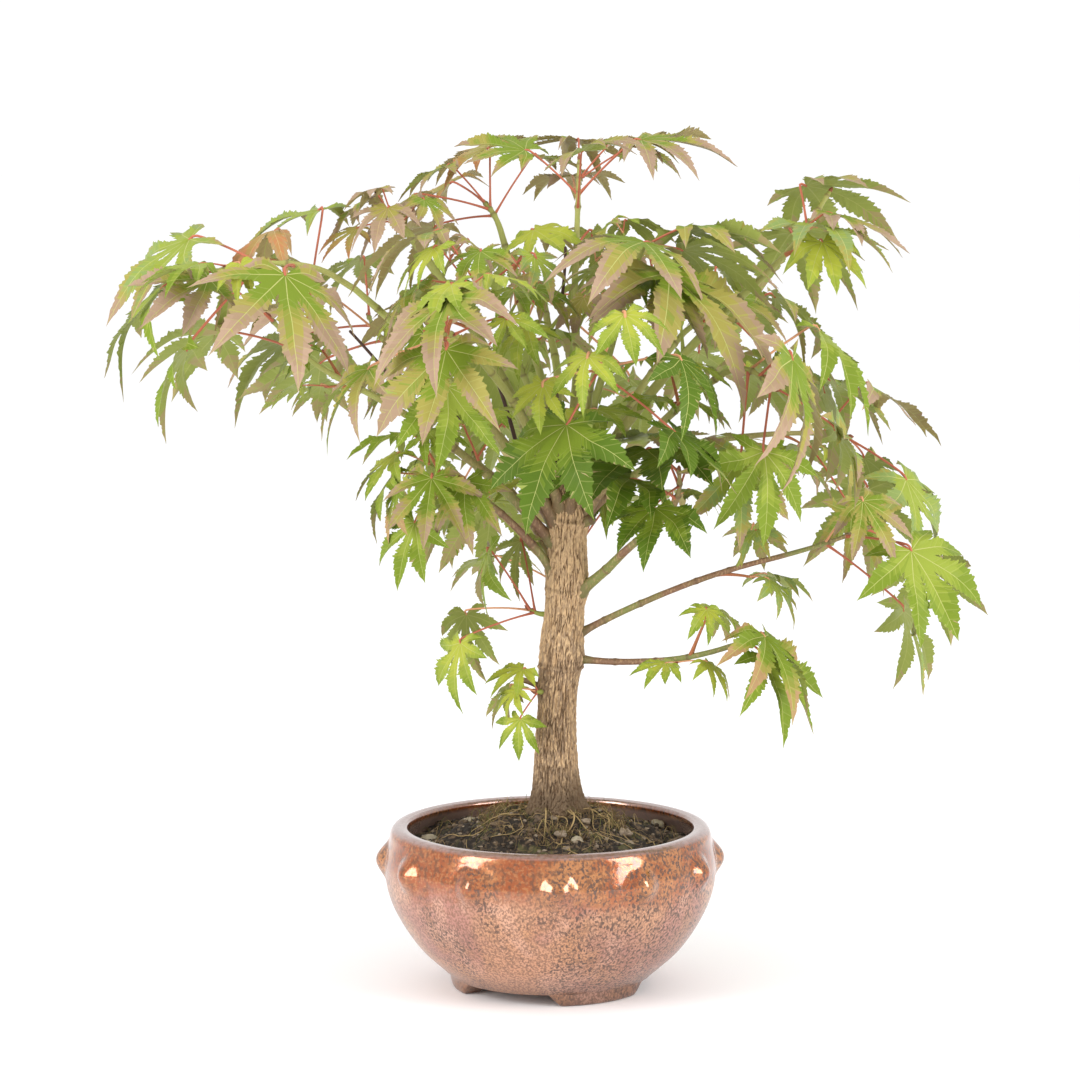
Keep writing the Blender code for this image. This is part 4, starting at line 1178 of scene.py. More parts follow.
BLOTCH_WAVES = 4
MOTTLE = (0.13, 0.05)  # how far blotches and grain shift a tint
MARGIN_AHEAD = 0.11  # how early the margins turn
MIDDLE_BEHIND = -0.04
LOBE_AHEAD = 0.10  # how early or late one lobe may turn
RAMP_SPAN = (0.18, 0.92)  # of a lobe, over which its tints follow
LOBE_SPAN = 0.92
STRIP_TURN = 0.12  # of the blotches, from strip to strip
TINTS = ("deep", "green", "fresh", "lime", "sage", "olive", "bronze", "mauve", "blush", "rust", "scorch")
BLENDS = (
    "green_to_deep", "fresh_to_green", "lime_to_fresh", "green_to_olive", "fresh_to_olive",
    "olive_to_mauve", "olive_to_bronze", "bronze_to_rust", "olive_to_rust", "rust_to_scorch",
    "deep_to_olive", "green_to_mauve", "bronze_to_mauve", "mauve_to_blush", "olive_to_blush",
    "green_to_sage", "fresh_to_sage", "sage_to_olive", "sage_to_mauve",
)
UNDERSIDES = ("under", "under_warm")
UNDER_TIPS = {"under": "under_warm", "under_warm": "olive_to_mauve"}
SLOTS = (TINTS + BLENDS + tuple(name + "_ribs" for name in TINTS + UNDERSIDES) + UNDERSIDES
         + ("vein", "vein_warm", "vein_under"))
DRESSES = {  # from a lobe's foot to its tip, then the underside and the veins
    "shade": "green deep deep deep under vein",
    "dark": "deep deep deep deep under vein",
    "green": "fresh green green green under vein",
    "fresh": "lime fresh fresh green under vein",
    "lime": "lime lime lime fresh under vein",
    "sage": "fresh sage sage olive under vein",
    "olive": "green green olive mauve under vein",
    "turning": "green olive olive mauve under vein",
    "tinted": "fresh sage olive mauve under vein",
    "mauve": "green olive mauve blush under_warm vein",
    "ripe": "olive mauve mauve blush under_warm vein_warm",
    "bronze": "olive bronze bronze rust under_warm vein_warm",
    "dry": "green green olive scorch under vein",
    "dead": "bronze rust scorch scorch under_warm vein_warm",
}
GROUPS = {  # which sprays make up each joined piece
    "leaves_left": ("left_top", "left_upper", "left_middle", "left_low", "trunk_left", "trunk_foot"),
    "leaves_front": ("front_left", "front_right", "right_stub", "right_low"),
    "leaves_right": ("right_top", "right_upper", "right_middle", "right_long"),
    "leaves_top": ("middle", "top_right", "top_left", "top_back"),
    "leaves_back": ("back", "back_left", "back_right", "back_low", "trunk_back"),
}


def ribs_of(name):
    """The slot of a tint's side veins, or the slot itself where it has none."""
    tint = name.split("_")[0]
    return SLOTS.index(tint + "_ribs") if tint in TINTS else SLOTS.index(name)


RIBS = np.array([ribs_of(name) for name in SLOTS])


def between(first, second):
    """The slot of the colour halfway between two tints, or else of the second."""
    for name in (f"{first}_to_{second}", f"{second}_to_{first}"):
        if name in SLOTS:
            return SLOTS.index(name)
    return SLOTS.index(second)


def ramp_of(dress):
    """The slots from a lobe's foot to its tip: tints and the colours halfway between them."""
    ramp = [SLOTS.index(dress[0])]
    for first, second in zip(dress[:3], dress[1:4]):
        if second != first:
            ramp.append(between(first, second))
        ramp.append(SLOTS.index(second))
    return np.array(ramp)


def blotches(along, turn, rng):
    """Soft patches over a leaf, about -1 to 1, from a few crossing waves."""
    total = np.zeros(len(along))
    for _ in range(BLOTCH_WAVES):
        way, waves = rng.uniform(0, math.tau), rng.uniform(6.0, 17.0)
        total += np.sin(waves * along * np.cos(turn - way) + rng.uniform(0, math.tau))
    return total / math.sqrt(BLOTCH_WAVES)


def leaf_slots(form, dress, rng):
    """The slot of each face of a leaf: a mottled ramp to each lobe's tip and margin."""
    ramp, under, vein = ramp_of(dress), dress[4], dress[5]
    lobe, along, kind, strip = form.marks.T
    lobe = lobe.astype(int)
    turn = np.radians(np.array(LOBE_ANGLES)[lobe]) + strip * STRIP_TURN
    grain = np.random.default_rng(rng.randrange(10 ** 6)).uniform(-1, 1, len(along))
    mottle = MOTTLE[0] * blotches(along, turn, rng) + MOTTLE[1] * grain
    shift = np.array([rng.uniform(-LOBE_AHEAD, LOBE_AHEAD) for _ in LOBE_ANGLES])[lobe]
    steps = np.linspace(*RAMP_SPAN, len(ramp) + 1)[1:-1] + rng.uniform(-0.12, 0.06)
    inward = np.where(np.abs(strip) == OUTER_STRIP, MARGIN_AHEAD, MIDDLE_BEHIND)
    slots = ramp[np.searchsorted(steps, along * LOBE_SPAN + inward + shift + mottle)]
    slots = np.where(kind == SIDE_VEIN, RIBS[slots], slots)
    slots = np.where(kind == VEIN, SLOTS.index(vein), slots)
    tinted = along + mottle > rng.uniform(0.55, 0.95)
    below = np.where(tinted, SLOTS.index(UNDER_TIPS[under]), SLOTS.index(under))
    slots = np.where(kind == BELOW, below, slots)
    slots = np.where(kind == SIDE_VEIN_BELOW, SLOTS.index(under + "_ribs"), slots)
    return np.where(kind == VEIN_BELOW, SLOTS.index("vein_under"), slots)


def mixed(a, b, share):
    """A colour between two colours."""
    return tuple(x + (y - x) * share for x, y in zip(a, b))


def leaf_finishes(s):
    """The leaves' materials: tints, the colours halfway between them, and side veins."""
    colours = {name: tuple(getattr(s, name)) for name in TINTS + UNDERSIDES + ("vein", "vein_warm")}
    colours["vein_under"] = mixed(colours["vein"], colours["under"], 0.4)
    for name in BLENDS:
        first, second = name.split("_to_")
        colours[name] = mixed(colours[first], colours[second], 0.5)
    for name in TINTS + UNDERSIDES:
        colours[name + "_ribs"] = mixed(colours[name], colours["vein"], RIB_TINT)
    return [plain_finish("leaf_" + name, colours[name], 0.5) for name in SLOTS]


def add_leaf(shape, form, leaf, dress, wide=1.0, deep=1.0):
    """Add one leaf to a shape."""
    rng = random.Random(leaf.seed + 0.25)
    points, start = leaf_points(form, leaf, wide, deep), shape.total
    slots = leaf_slots(form, DRESSES[dress].split(), rng)
    shape.add(points, form.quads, slots[:len(form.quads)])
    shape.more(form.threes + start, slots[len(form.quads):])


# -------- bowl

BOWL_WIDEST = BOWL_SIDE[3]  # radius and height
BOWL_SEGMENTS = 384
FOOT_ROUNDING = 0.7
FOOT_ROOF = 0.9  # where the hollow meets a foot, as a share of its height
LIP_LEAN = (0.0006, 0.0011)  # where its curve aims: inward of the shoulder, above the rim
LIP_TOP = (0.0016, 0.00005)  # outward of its inner edge, below the rim
LIP_INSIDE = (0.0001, 0.0020)  # where it ends inside, likewise
SIDE_STEPS, LIP_STEPS, LIP_END_STEPS, INSIDE_STEPS = 14, 14, 8, 6
FOOT_INSIDE = ((0.0002, 0.0008), (0.0009, 0.0))  # a foot's section: inset from its side, height
FOOT_OUTSIDE = ((0.0022, 0.0), (0.0012, 0.0003), (0.0006, 0.0012), (0.0003, 0.0028))
FLOOR_CORNER = 0.004  # between the foot of the inner wall and the flat floor
UNDER_CORNER = 0.001


def knobs(angle, height):
    """How far the knobs stand out of the wall at an angle in degrees and a height."""
    step = 360 / BOSS_COUNT
    off = (angle - BOSS_FIRST + step / 2) % step - step / 2
    across = math.radians(off) * BOWL_WIDEST[0] / (BOSS_SPREAD[0] * BOSS_SOFT)
    up = (height - BOSS_HEIGHT) / (BOSS_SPREAD[1] * BOSS_SOFT)
    far = across * across + up * up
    return BOSS_STAND * (1 - far) ** 2 if far < 1 else 0.0


def foot_share(angle):
    """1 where the bowl has a foot at this angle in degrees, 0 between the feet."""
    step = 360 / FOOT_COUNT
    off = abs((angle - FOOT_FIRST + step / 2) % step - step / 2)
    return float(smooth((FOOT_ARC / 2 - off) / FOOT_FLARE)) ** FOOT_ROUNDING


def lip_points(start, control, end, steps):
    """Points along one of the lip's two curves, without its start."""
    return [(p.x, p.y, "lip") for p in bend(Vector(start), Vector(control), Vector(end), steps)[1:]]


def bowl_section():
    """The wall's section as (radius, height, kind), from the outer foot over the lip and back."""
    side = [(p.x, p.y, "side") for p in through(BOWL_SIDE, SIDE_STEPS)]
    shoulder = BOWL_SIDE[-1]
    top = (RIM_INNER_RADIUS + LIP_TOP[0], RIM_HEIGHT - LIP_TOP[1])
    inside = (RIM_INNER_RADIUS + LIP_INSIDE[0], RIM_HEIGHT - LIP_INSIDE[1])
    lip = lip_points(shoulder, (shoulder[0] - LIP_LEAN[0], RIM_HEIGHT + LIP_LEAN[1]), top, LIP_STEPS)
    lip += lip_points(top, (RIM_INNER_RADIUS, RIM_HEIGHT), inside, LIP_END_STEPS)
    inner = []
    for r, z in reversed(BOWL_SIDE[:-1]):
        if z + WALL_RISE > BOWL_FLOOR:
            inner.append((r - BOWL_WALL, z + WALL_RISE))
    wall = [(p.x, p.y, "inside") for p in through([inside] + inner, INSIDE_STEPS)[1:]]
    outer, bottom = BOWL_SIDE[0]
    floor = [(inner[-1][0] - FLOOR_CORNER, BOWL_FLOOR, "floor"), (DRAIN_RADIUS, BOWL_FLOOR, "floor"),
             (DRAIN_RADIUS, bottom, "under"), (FOOT_INNER - UNDER_CORNER, bottom, "under")]
    foot = [(FOOT_INNER, bottom * FOOT_ROOF)]
    foot += [(FOOT_INNER + inset, z) for inset, z in FOOT_INSIDE]
    foot += [(outer - inset, z) for inset, z in FOOT_OUTSIDE]
    return side + lip + wall + floor + [(r, z, "foot") for r, z in foot]


def make_bowl(s):
    """The glazed bowl, slightly wobbly, with knobs that swell out of the shoulder."""
    section = bowl_section()
    bottom = BOWL_SIDE[0][1]
    points, faces = [], []
    # the inside of the wall is marked for the glaze's painted reflection
    paint = [float(kind == "inside") for _, _, kind in section] * BOWL_SEGMENTS
    for k in range(BOWL_SEGMENTS):
        angle = 360 * k / BOWL_SEGMENTS
        a = math.radians(angle)
        share = foot_share(angle)
        for r, z, kind in section:
            if kind == "side":
                r += knobs(angle, z)
            if kind == "foot":
                z = bottom + (z - bottom) * share
            if kind in ("side", "lip"):
                place = Vector((math.cos(a) * 2.2, math.sin(a) * 2.2, z * 60))
                r += s.wobble * noise.noise(place)
                r += s.wobble * 0.3 * noise.noise(place * 4.1)
            points.append((r * math.cos(a), r * math.sin(a), z))
    n = len(section)
    for k in range(BOWL_SEGMENTS):
        after = (k + 1) % BOWL_SEGMENTS
        for i in range(n):
            j = (i + 1) % n
            faces.append((k * n + i, after * n + i, after * n + j, k * n + j))
    shape = Shape()
    shape.add(points, faces, 0, paint)
    bowl = shape.make("bowl", [glaze_finish(s)], 40.0)
    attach(bowl, "root")
    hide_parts("pot")


# -------- soil

SOIL_RINGS, SOIL_SIDES = 84, 240
SOIL_LUMPS = ((170, 1.0), (420, 0.7), (1100, 0.4))  # how close together, and how high
SOIL_SETTLED = 0.0010  # how far the surface lies below the solid's
BY_TRUNK, BY_TRUNK_FADE, BY_TRUNK_SMOOTH = 0.0125, 0.004, 0.75  # smooth, bare soil: reach, fade, share
SOIL_UNDERSIDE = ((0.045, 0.0), (0.044, 0.02))  # height, and how far in from the bowl's wall


def inner_radius(height):
    """The radius of the bowl's inside at a height near its lip."""
    high_r, high = RIM_INNER_RADIUS, RIM_HEIGHT - LIP_INSIDE[1]
    low_r, low = BOWL_WIDEST[0] - BOWL_WALL, BOWL_WIDEST[1] + WALL_RISE
    share = min(max((high - height) / (high - low), 0.0), 1.0)
    return high_r + (low_r - high_r) * math.sin(share * math.pi / 2)


SOIL_EDGE = inner_radius(SOIL_EDGE_HEIGHT)


def from_trunk(x, y):
    """The distance from the trunk's middle at the soil."""
    return math.hypot(x - TRUNK_FOOT_X, y)


def soil_height(x, y, relief):
    """The height of the soil's lumpy surface."""
    mound = SOIL_MOUND + ((SOIL_EDGE, SOIL_EDGE_HEIGHT),)
    base = float(np.interp(math.hypot(x, y), [p[0] for p in mound], [p[1] for p in mound]))
    place = Vector((x, y, 0.0))
    lumps = sum(high * noise.noise(place * scale) for scale, high in SOIL_LUMPS)
    clods = 0.0022 * noise.noise(place * 75 + Vector((3, 1, 4)))
    settle = 1 - BY_TRUNK_SMOOTH * float(smooth((BY_TRUNK - from_trunk(x, y)) / BY_TRUNK_FADE))
    return base + (lumps * relief + clods - SOIL_SETTLED) * settle


def ring_of(radius, height, sides):
    """Points round a level circle."""
    return [(radius * math.cos(math.tau * k / sides), radius * math.sin(math.tau * k / sides), height)
            for k in range(sides)]


def make_soil(s):
    """The soil's lumpy surface, and what it fills below."""
    points = []
    for i in range(1, SOIL_RINGS + 1):
        for x, y, _ in ring_of(SOIL_EDGE * i / SOIL_RINGS, 0.0, SOIL_SIDES):
            points.append((x, y, soil_height(x, y, s.relief)))
    for height, inset in SOIL_UNDERSIDE:
        points += ring_of(inner_radius(height) - inset, height, SOIL_SIDES)
    rings = SOIL_RINGS + len(SOIL_UNDERSIDE)
    faces = [(a, b, c, d) for a, d, c, b in wrapped(rings, SOIL_SIDES)]
    caps, last = [], (rings - 1) * SOIL_SIDES
    points += [(0, 0, soil_height(0, 0, s.relief)), (0, 0, SOIL_UNDERSIDE[-1][0])]
    for k in range(SOIL_SIDES):
        n = (k + 1) % SOIL_SIDES
        caps += [(len(points) - 2, k, n), (len(points) - 1, last + n, last + k)]
    shape = Shape()
    shape.add(points, faces)
    shape.more(caps)
    soil = shape.make("soil_surface", [earth_finish(s)])
    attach(soil, "root")
    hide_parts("soil")


CRUMB, EARTH_CRUMB, STONE, PALE_STONE = range(4)  # slots of the soil's grit
PALE_STONE_COLOUR = (0.36, 0.31, 0.22)
PEBBLE_SIZES, CRUMB_SIZES = (0.0013, 0.0029), (0.0004, 0.0011)
PEBBLE_SLOTS = (STONE, STONE, CRUMB, CRUMB, STONE, PALE_STONE)
CRUMB_SLOTS = (CRUMB, CRUMB, EARTH_CRUMB, EARTH_CRUMB, EARTH_CRUMB, STONE)
GRIT_EDGE = 0.002


def make_grit(s):
    """Crumbs and pebbles lying on the soil."""
    rng = random.Random(7)
    fine, coarse = ball(2), ball(3)
    litter = Shape()
    for i in range(s.grains + s.pebbles):
        big = i >= s.grains
        r, a = SOIL_EDGE * math.sqrt(rng.uniform(0.03, 0.975)), rng.uniform(0, math.tau)
        x, y = r * math.cos(a), r * math.sin(a)
        if from_trunk(x, y) < BY_TRUNK or r > SOIL_EDGE - GRIT_EDGE:
            continue
        size = rng.uniform(*(PEBBLE_SIZES if big else CRUMB_SIZES))
        sizes = [size * rng.uniform(0.7, 1.25) for _ in range(2)] + [size * rng.uniform(0.5, 0.8)]
        centre = Vector((x, y, soil_height(x, y, s.relief) + sizes[2] * rng.uniform(-0.1, 0.5)))
        slot = rng.choice(PEBBLE_SLOTS if big else CRUMB_SLOTS)
        corners, faces = coarse if big else fine
        litter.add(pebble(corners, centre, sizes, rng, 0.5), faces, slot)
    kinds = (("crumb", s.crumb, s.earth), ("earth_crumb", s.earth, s.crumb), ("stone", s.stone, s.crumb),
             ("pale_stone", PALE_STONE_COLOUR, s.stone))
    grit = litter.make("soil_grit", [stone_finish(*kind) for kind in kinds])
    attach(grit, "root")


DRY_ROOT, MOSS, ROOTLET = range(3)  # slots of the soil's roots
ROOTS = (  # heading in degrees, length, how it bends, radius
    (-118, 0.040, 0.55, 0.00032), (-62, 0.044, -0.35, 0.00036), (-140, 0.030, -0.4, 0.00026),
    (-95, 0.020, 0.35, 0.00022), (-74, 0.038, 0.5, 0.00024), (-30, 0.032, 0.3, 0.00030),
    (5, 0.030, -0.5, 0.00026), (178, 0.034, 0.4, 0.00032), (120, 0.034, -0.3, 0.00034),
    (70, 0.030, 0.45, 0.00028), (40, 0.036, -0.25, 0.00030), (150, 0.026, 0.3, 0.00024),
    (-160, 0.028, 0.6, 0.00022), (-12, 0.026, -0.6, 0.00020),
)
NEAR_SHARE = 0.6  # of the fibres: those that lie round the trunk
NEAR_REACH, FAR_REACH = (0.03, 0.28), (0.03, 0.86)  # squares of shares of the soil's radius
TUFT_SCALE, NEAR_TUFTS, FAR_TUFTS = 95, -0.15, 0.08  # no fibre lies where this noise is lower
FIBRE_SLOTS = (DRY_ROOT, MOSS, ROOTLET, ROOTLET)
FIBRE_STEPS, LEAST_FIBRE = 8, 5  # steps along a fibre, and its fewest points
WALL_GAP = (0.0015, 0.0012)  # of a fibre, and of a root


def fibre_path(x, y, phase, rng, relief):
    """One fibre's points on the soil, as far as they stay inside the bowl."""
    heading, far, rise = rng.uniform(0, math.tau), rng.uniform(0.003, 0.010), rng.uniform(0.0003, 0.0046)
    turn, path = rng.uniform(-2.2, 2.2), []
    wiggle, waves, arch, least = 0.5, 5, 1.15, 0.0002
    for j in range(FIBRE_STEPS + 1):
        t = j / FIBRE_STEPS
        h = heading + turn * t + wiggle * math.sin(waves * t + phase)
        x, y = x + math.cos(h) * far / FIBRE_STEPS, y + math.sin(h) * far / FIBRE_STEPS
        if math.hypot(x, y) > SOIL_EDGE - WALL_GAP[0]:
            break
        lift = rise * math.sin(math.pi * min(t * arch, 1.0)) + least
        path.append(Vector((x, y, soil_height(x, y, relief) + lift)))
    return path


def root_path(heading, far, bow, relief):
    """One of the larger roots' points, from the trunk outward over the soil."""
    path, points, start = [], 26, 0.0100
    bend_wave, wiggle, waves = 2.6, 0.10, 9
    lift, lift_vary, lift_waves, sink, ride = 0.0012, 0.0010, 7, 0.7, 0.4
    for j in range(points):
        t = j / (points - 1)
        h = math.radians(heading) + bow * math.sin(bend_wave * t) + wiggle * math.sin(waves * t + heading)
        r = start + far * t
        x, y = TRUNK_FOOT_X + r * math.cos(h), r * math.sin(h)
        if math.hypot(x, y) > SOIL_EDGE - WALL_GAP[1]:
            break
        above = (lift + lift_vary * math.sin(lift_waves * t + heading)) * (1 - sink * t)
        path.append(Vector((x, y, soil_height(x, y, relief * ride) + above)))
    return path


def make_roots(s):
    """Fine roots, fibres and moss lying on the soil."""
    rng = random.Random(11)
    threads = Shape()
    for i in range(s.fibres):
        near = i < s.fibres * NEAR_SHARE
        r = SOIL_EDGE * math.sqrt(rng.uniform(*(NEAR_REACH if near else FAR_REACH)))
        a = rng.uniform(0, math.tau)
        x, y = r * math.cos(a), r * math.sin(a)
        if noise.noise(Vector((x, y, 0.5)) * TUFT_SCALE) < (NEAR_TUFTS if near else FAR_TUFTS):
            continue
        path = fibre_path(x, y, a, rng, s.relief)
        if len(path) >= LEAST_FIBRE:
            radii = falling(rng.uniform(0.00005, 0.00013), 1, 0.5, len(path), len(path))
            add_tube(threads, path, radii, 5, rng.choice(FIBRE_SLOTS))
    for heading, far, bow, radius in ROOTS:
        path = root_path(heading, far, bow, s.relief)
        add_tube(threads, path, falling(radius, 1, 0.6, len(path), len(path)), 8, DRY_ROOT)
    finishes = [plain_finish("dry_root", s.fibre, 0.8), plain_finish("moss", s.moss, 0.9),
                plain_finish("rootlet", s.rootlet, 0.8)]
    roots = threads.make("soil_roots", finishes)
    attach(roots, "root")


# -------- trunk and boughs

SCARS = (  # height, tilt, how far they stand out
    (0.1790, 0.4, 0.0005), (0.1230, 0.3, 0.0006), (0.1525, 1.5, 0.0004),
)
SCAR_WIDTH = 0.0007
SCAR_TILT = 0.0006
SCAR_SHADE = 1.4  # how far above a scar its shade is, in scar widths
SWELLINGS = (  # height, heading, bulge, spread
    (0.153, -20, 0.0016, 0.0042), (0.1262, -25, 0.0014, 0.0040), (0.115, 186, 0.0010, 0.0035),
    (0.1800, -35, 0.0022, 0.0050), (0.1620, 150, 0.0009, 0.0040),
)
MARK_SHADE = 0.35  # at scars, swellings and the broken top
BROAD_CRACK, FINE_CRACK, RIDGE = (0.0011, 0.0095), (0.0005, 0.0034), (0.0007, 0.0020)  # sizes across and up
PAINTED_HIGHLIGHT = 0.7  # how pale the painted highlight on the plates' raised tops is
STUBS = (  # height and heading of the foot, cut end, radius
    (0.1130, 190, Vector((-0.0135, -0.0020, 0.1190)), 0.0011),
    (0.1880, 260, Vector((0.0010, -0.0080, 0.2290)), 0.0019),
    (0.1880, -40, Vector((0.0200, -0.0090, 0.2180)), 0.0018),
    (0.1750, -40, Vector((0.0160, -0.0065, 0.1805)), 0.0021),
    (0.1240, -8, Vector((0.0168, -0.0030, 0.1262)), 0.0010),
)
TRUNK_RINGS, TRUNK_SIDES, TRUNK_CROWDING = 390, 224, 1.1
TRUNK_BELOW = 0.0012  # how far the bark reaches into the soil's pad
TOP_FROM = 0.93  # share of the rings where the top gets ragged
RAGGED = ((0.0017, 3.1), (0.0011, 9.0))
RAGGED_SLOPE, TOP_SUNK = 0.0010, 0.0008
BROKEN_TOP = ((0.16, 0.0004), (0.34, 0.0016), (0.55, 0.0030), (0.78, 0.0042))  # inward share, drop
HEART_DROP, HEART_SHADE = 0.0046, 0.9


def bark_noise(place, size, warp=0.0, offset=0.0):
    """Noise drawn out up the bark, of a size across and a size up."""
    across, up = size
    return noise.noise(Vector((place.x / across + offset, place.y / across, place.z / up + warp)))


def bark_cracks(place, depth):
    """The cracks between narrow plates: how deep the bark lies, and how dark it is. The darkness is partly
    the bark's own and partly painted shade in the cracks; below zero it is a painted highlight on the
    plates' raised tops.
    """
    warp = 0.5 * noise.noise(Vector((place.x * 90, place.y * 90, place.z * 60)))
    broad = abs(bark_noise(place, BROAD_CRACK, warp))
    fine = abs(bark_noise(place, FINE_CRACK, -warp, 9))
    wide, thin = 1 - float(smooth(broad / 0.17)), 1 - float(smooth(fine / 0.16))
    ridge = bark_noise(place, RIDGE)
    # the cracks' own darker bark, with painted shade where they lie deep
    dark = (0.85 * wide + 0.42 * thin) * (0.75 + 0.6 * ridge)
    # painted highlight on the plates' raised tops, away from the cracks
    light = float(smooth((ridge - 0.05) / 0.25)) * (1 - wide) * (1 - thin)
    deep = depth * (wide + 0.5 * thin) - depth * 0.55 * ridge
    return deep, min(1.0, max(0.0, dark)) - PAINTED_HIGHLIGHT * light


def bark_marks(level, a, r):
    """What scars and swellings add at a height and an angle: how far out, how dark."""
    stand, dark = 0.0, 0.0
    for height, tilt, high in SCARS:
        off = (level - height - SCAR_TILT * math.sin(a * 2 + tilt)) / SCAR_WIDTH
        stand += high * math.exp(-off * off)
        dark += MARK_SHADE * math.exp(-(off - SCAR_SHADE) ** 2)
    for height, heading, bulge, spread in SWELLINGS:
        turn = (a - math.radians(heading) + math.pi) % math.tau - math.pi
        off = ((turn * r) ** 2 + (level - height) ** 2) / spread ** 2
        grain = noise.noise(Vector((math.cos(a) * 9, math.sin(a) * 9, level * 900)))
        stand += bulge * math.exp(-off)
        dark += MARK_SHADE * math.exp(-off * 1.5) * (0.5 + grain)
    return stand, dark


def broken_top(rim):
    """The hollow inside the ragged top: its points, their shades and its middle."""
    middle = sum(rim, Vector()) / len(rim)
    points, shades = [], []
    for inward, drop in BROKEN_TOP:
        for p in rim:
            flat = p.lerp(middle, inward)
            flat.z -= drop * (1 + 0.8 * noise.noise(flat * 420)) * (1.25 - 0.5 * (p.x > middle.x))
            points.append(flat)
            shades.append(0.35 + 0.5 * (drop > BROKEN_TOP[0][1]))
    return points, shades, middle


def make_trunk(s):
    """The trunk: cracked bark, scars, swellings and a broken top."""
    points, paint = [], []
    for i in range(TRUNK_RINGS):
        up = i / (TRUNK_RINGS - 1)
        level = TRUNK_FOOT - TRUNK_BELOW + (TRUNK_HEIGHT + TRUNK_BELOW) * up ** TRUNK_CROWDING
        centre = trunk_centre(level)
        share = float(smooth((up - TOP_FROM) / (1 - TOP_FROM)))
        for k in range(TRUNK_SIDES):
            a = math.tau * k / TRUNK_SIDES
            out = Vector((math.cos(a), math.sin(a), 0))
            r = trunk_radius(level, a)
            # the bark's darkness: partly painted shade in the cracks, and a painted highlight on the plates'
            # tops below zero
            deep, dark = bark_cracks(out * r + Vector((0, 0, level)), s.crack_depth)
            stand, shade_there = bark_marks(level, a, r)
            ragged = sum(high * noise.noise(out * scale) for high, scale in RAGGED)
            ragged += RAGGED_SLOPE * math.cos(a)
            sawn = SAWN_TILT * math.cos(a - math.radians(SAWN_HEADING))
            top = share * (ragged + sawn - TOP_SUNK)
            points.append(centre + out * (r - deep + stand) + Vector((0, 0, top)))
            paint.append(min(1.0, dark + shade_there + MARK_SHADE * share))
    inside, shades, middle = broken_top(points[-TRUNK_SIDES:])
    heart = middle - Vector((0, 0, HEART_DROP))
    points += inside + [heart, trunk_centre(TRUNK_FOOT) - Vector((0, 0, TRUNK_BELOW))]
    paint += shades + [HEART_SHADE, HEART_SHADE]
    rings = TRUNK_RINGS + len(BROKEN_TOP)
    first, last = rings * TRUNK_SIDES, (rings - 1) * TRUNK_SIDES
    caps = []
    for k in range(TRUNK_SIDES):
        n = (k + 1) % TRUNK_SIDES
        caps += [(first, last + k, last + n), (first + 1, n, k)]
    shape = Shape()
    shape.add(points, wrapped(rings, TRUNK_SIDES), 0, paint)
    shape.more(caps)
    trunk = shape.make("trunk_bark", [bark_finish(s)], 75.0)
    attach(trunk, "root")
    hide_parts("trunk")


BOUGH_STEPS, STEM_STEPS, LIMB_SIDES, STUB_POINTS = 5, 6, 14, 16
STEM_THINNING = 0.62  # radius of a stem's end, as a share
LAST_NODE = 0.004  # how far before the stem
NODE_RINGS = (-0.0009, 0.0, 0.0009)  # where rings are added round a node
NODE_SWELL, JOINT_SWELL = (0.00022, 0.0008), (0.00042, 0.0010)  # how far out, over what length
CLOSEST_RINGS = 0.0002


def rough(high, scale):
    """A tube's relief, from how high its noise is and how fine."""
    return lambda p: high * noise.noise(p * scale)


def bump_at(at, places, bump):
    """How far a limb's swellings stand out at a distance along it."""
    high, wide = bump
    return sum(high * math.exp(-((at - place) / wide) ** 2) for place in places)


def insert_points(path, far, places):
    """A path with more points, put in at the given distances along it."""
    made = list(zip(far, path)) + [(at, point_at(path, far, at)) for at in places]
    made.sort(key=lambda pair: pair[0])
    kept = [made[0]]
    for at, p in made[1:]:
        if at - kept[-1][0] > CLOSEST_RINGS:
            kept.append((at, p))
    return [p for _, p in kept], [at for at, _ in kept]


def point_at(path, far, at):
    """The point at a distance along a path."""
    for i in range(1, len(path)):
        if far[i] >= at:
            return path[i - 1].lerp(path[i], (at - far[i - 1]) / (far[i] - far[i - 1]))
    return path[-1].copy()


def limb_line(row):
    """A bough's line, the line of the stem that carries it on, and the spray's row."""
    spray = next(s for s in SPRAYS if s.name == row.name)
    bough = through(bough_path(row), BOUGH_STEPS)
    stem = through(stem_path(spray, *spray_start(spray)), STEM_STEPS)
    return bough, stem, spray


def node_places(bough, stem, spray, rng):
    """Distances along a limb of its swollen nodes and of its leaves' joints."""
    far = travel(bough + stem)
    whole, start = far[-1], far[len(bough)]
    low, high = JOINTS
    joints = [start + (whole - start) * (low + (high - low) * (j + 1) / spray.pairs)
              for j in range(spray.pairs)]
    at, nodes = 0.012 + rng.uniform(0, 0.008), []
    while at < start - LAST_NODE:
        nodes.append(at)
        at += rng.uniform(0.013, 0.024)
    return nodes, joints


def limb_radius(row, at, start, whole, nodes, joints):
    """A limb's radius at a distance along it, its stem beginning at start."""
    share = min(at / start, 1.0)
    r = row.thick + (row.thin - row.thick) * share ** BOUGH_TAPER
    if at > start:
        r = row.thin + (STEM_RADIUS * STEM_THINNING - row.thin) * (at - start) / (whole - start)
    foot, foot_end, over = 0.55, 0.005, 0.0022
    r += row.thick * foot * math.exp(-max(at - foot_end, 0) / over)
    return r + bump_at(at, nodes, NODE_SWELL) + bump_at(at, joints, JOINT_SWELL)


def limb_shade(at, places):
    """How dark a limb's bark is: at its foot, and in a line round each node."""
    near = min(abs(at - place) for place in places)
    line_shade, line_width = 0.65, 0.0006
    foot_shade, foot_end, over = 0.50, 0.006, 0.005
    line = line_shade * math.exp(-(near / line_width) ** 2)
    return min(1.0, line + foot_shade * math.exp(-(max(at - foot_end, 0) / over) ** 2))


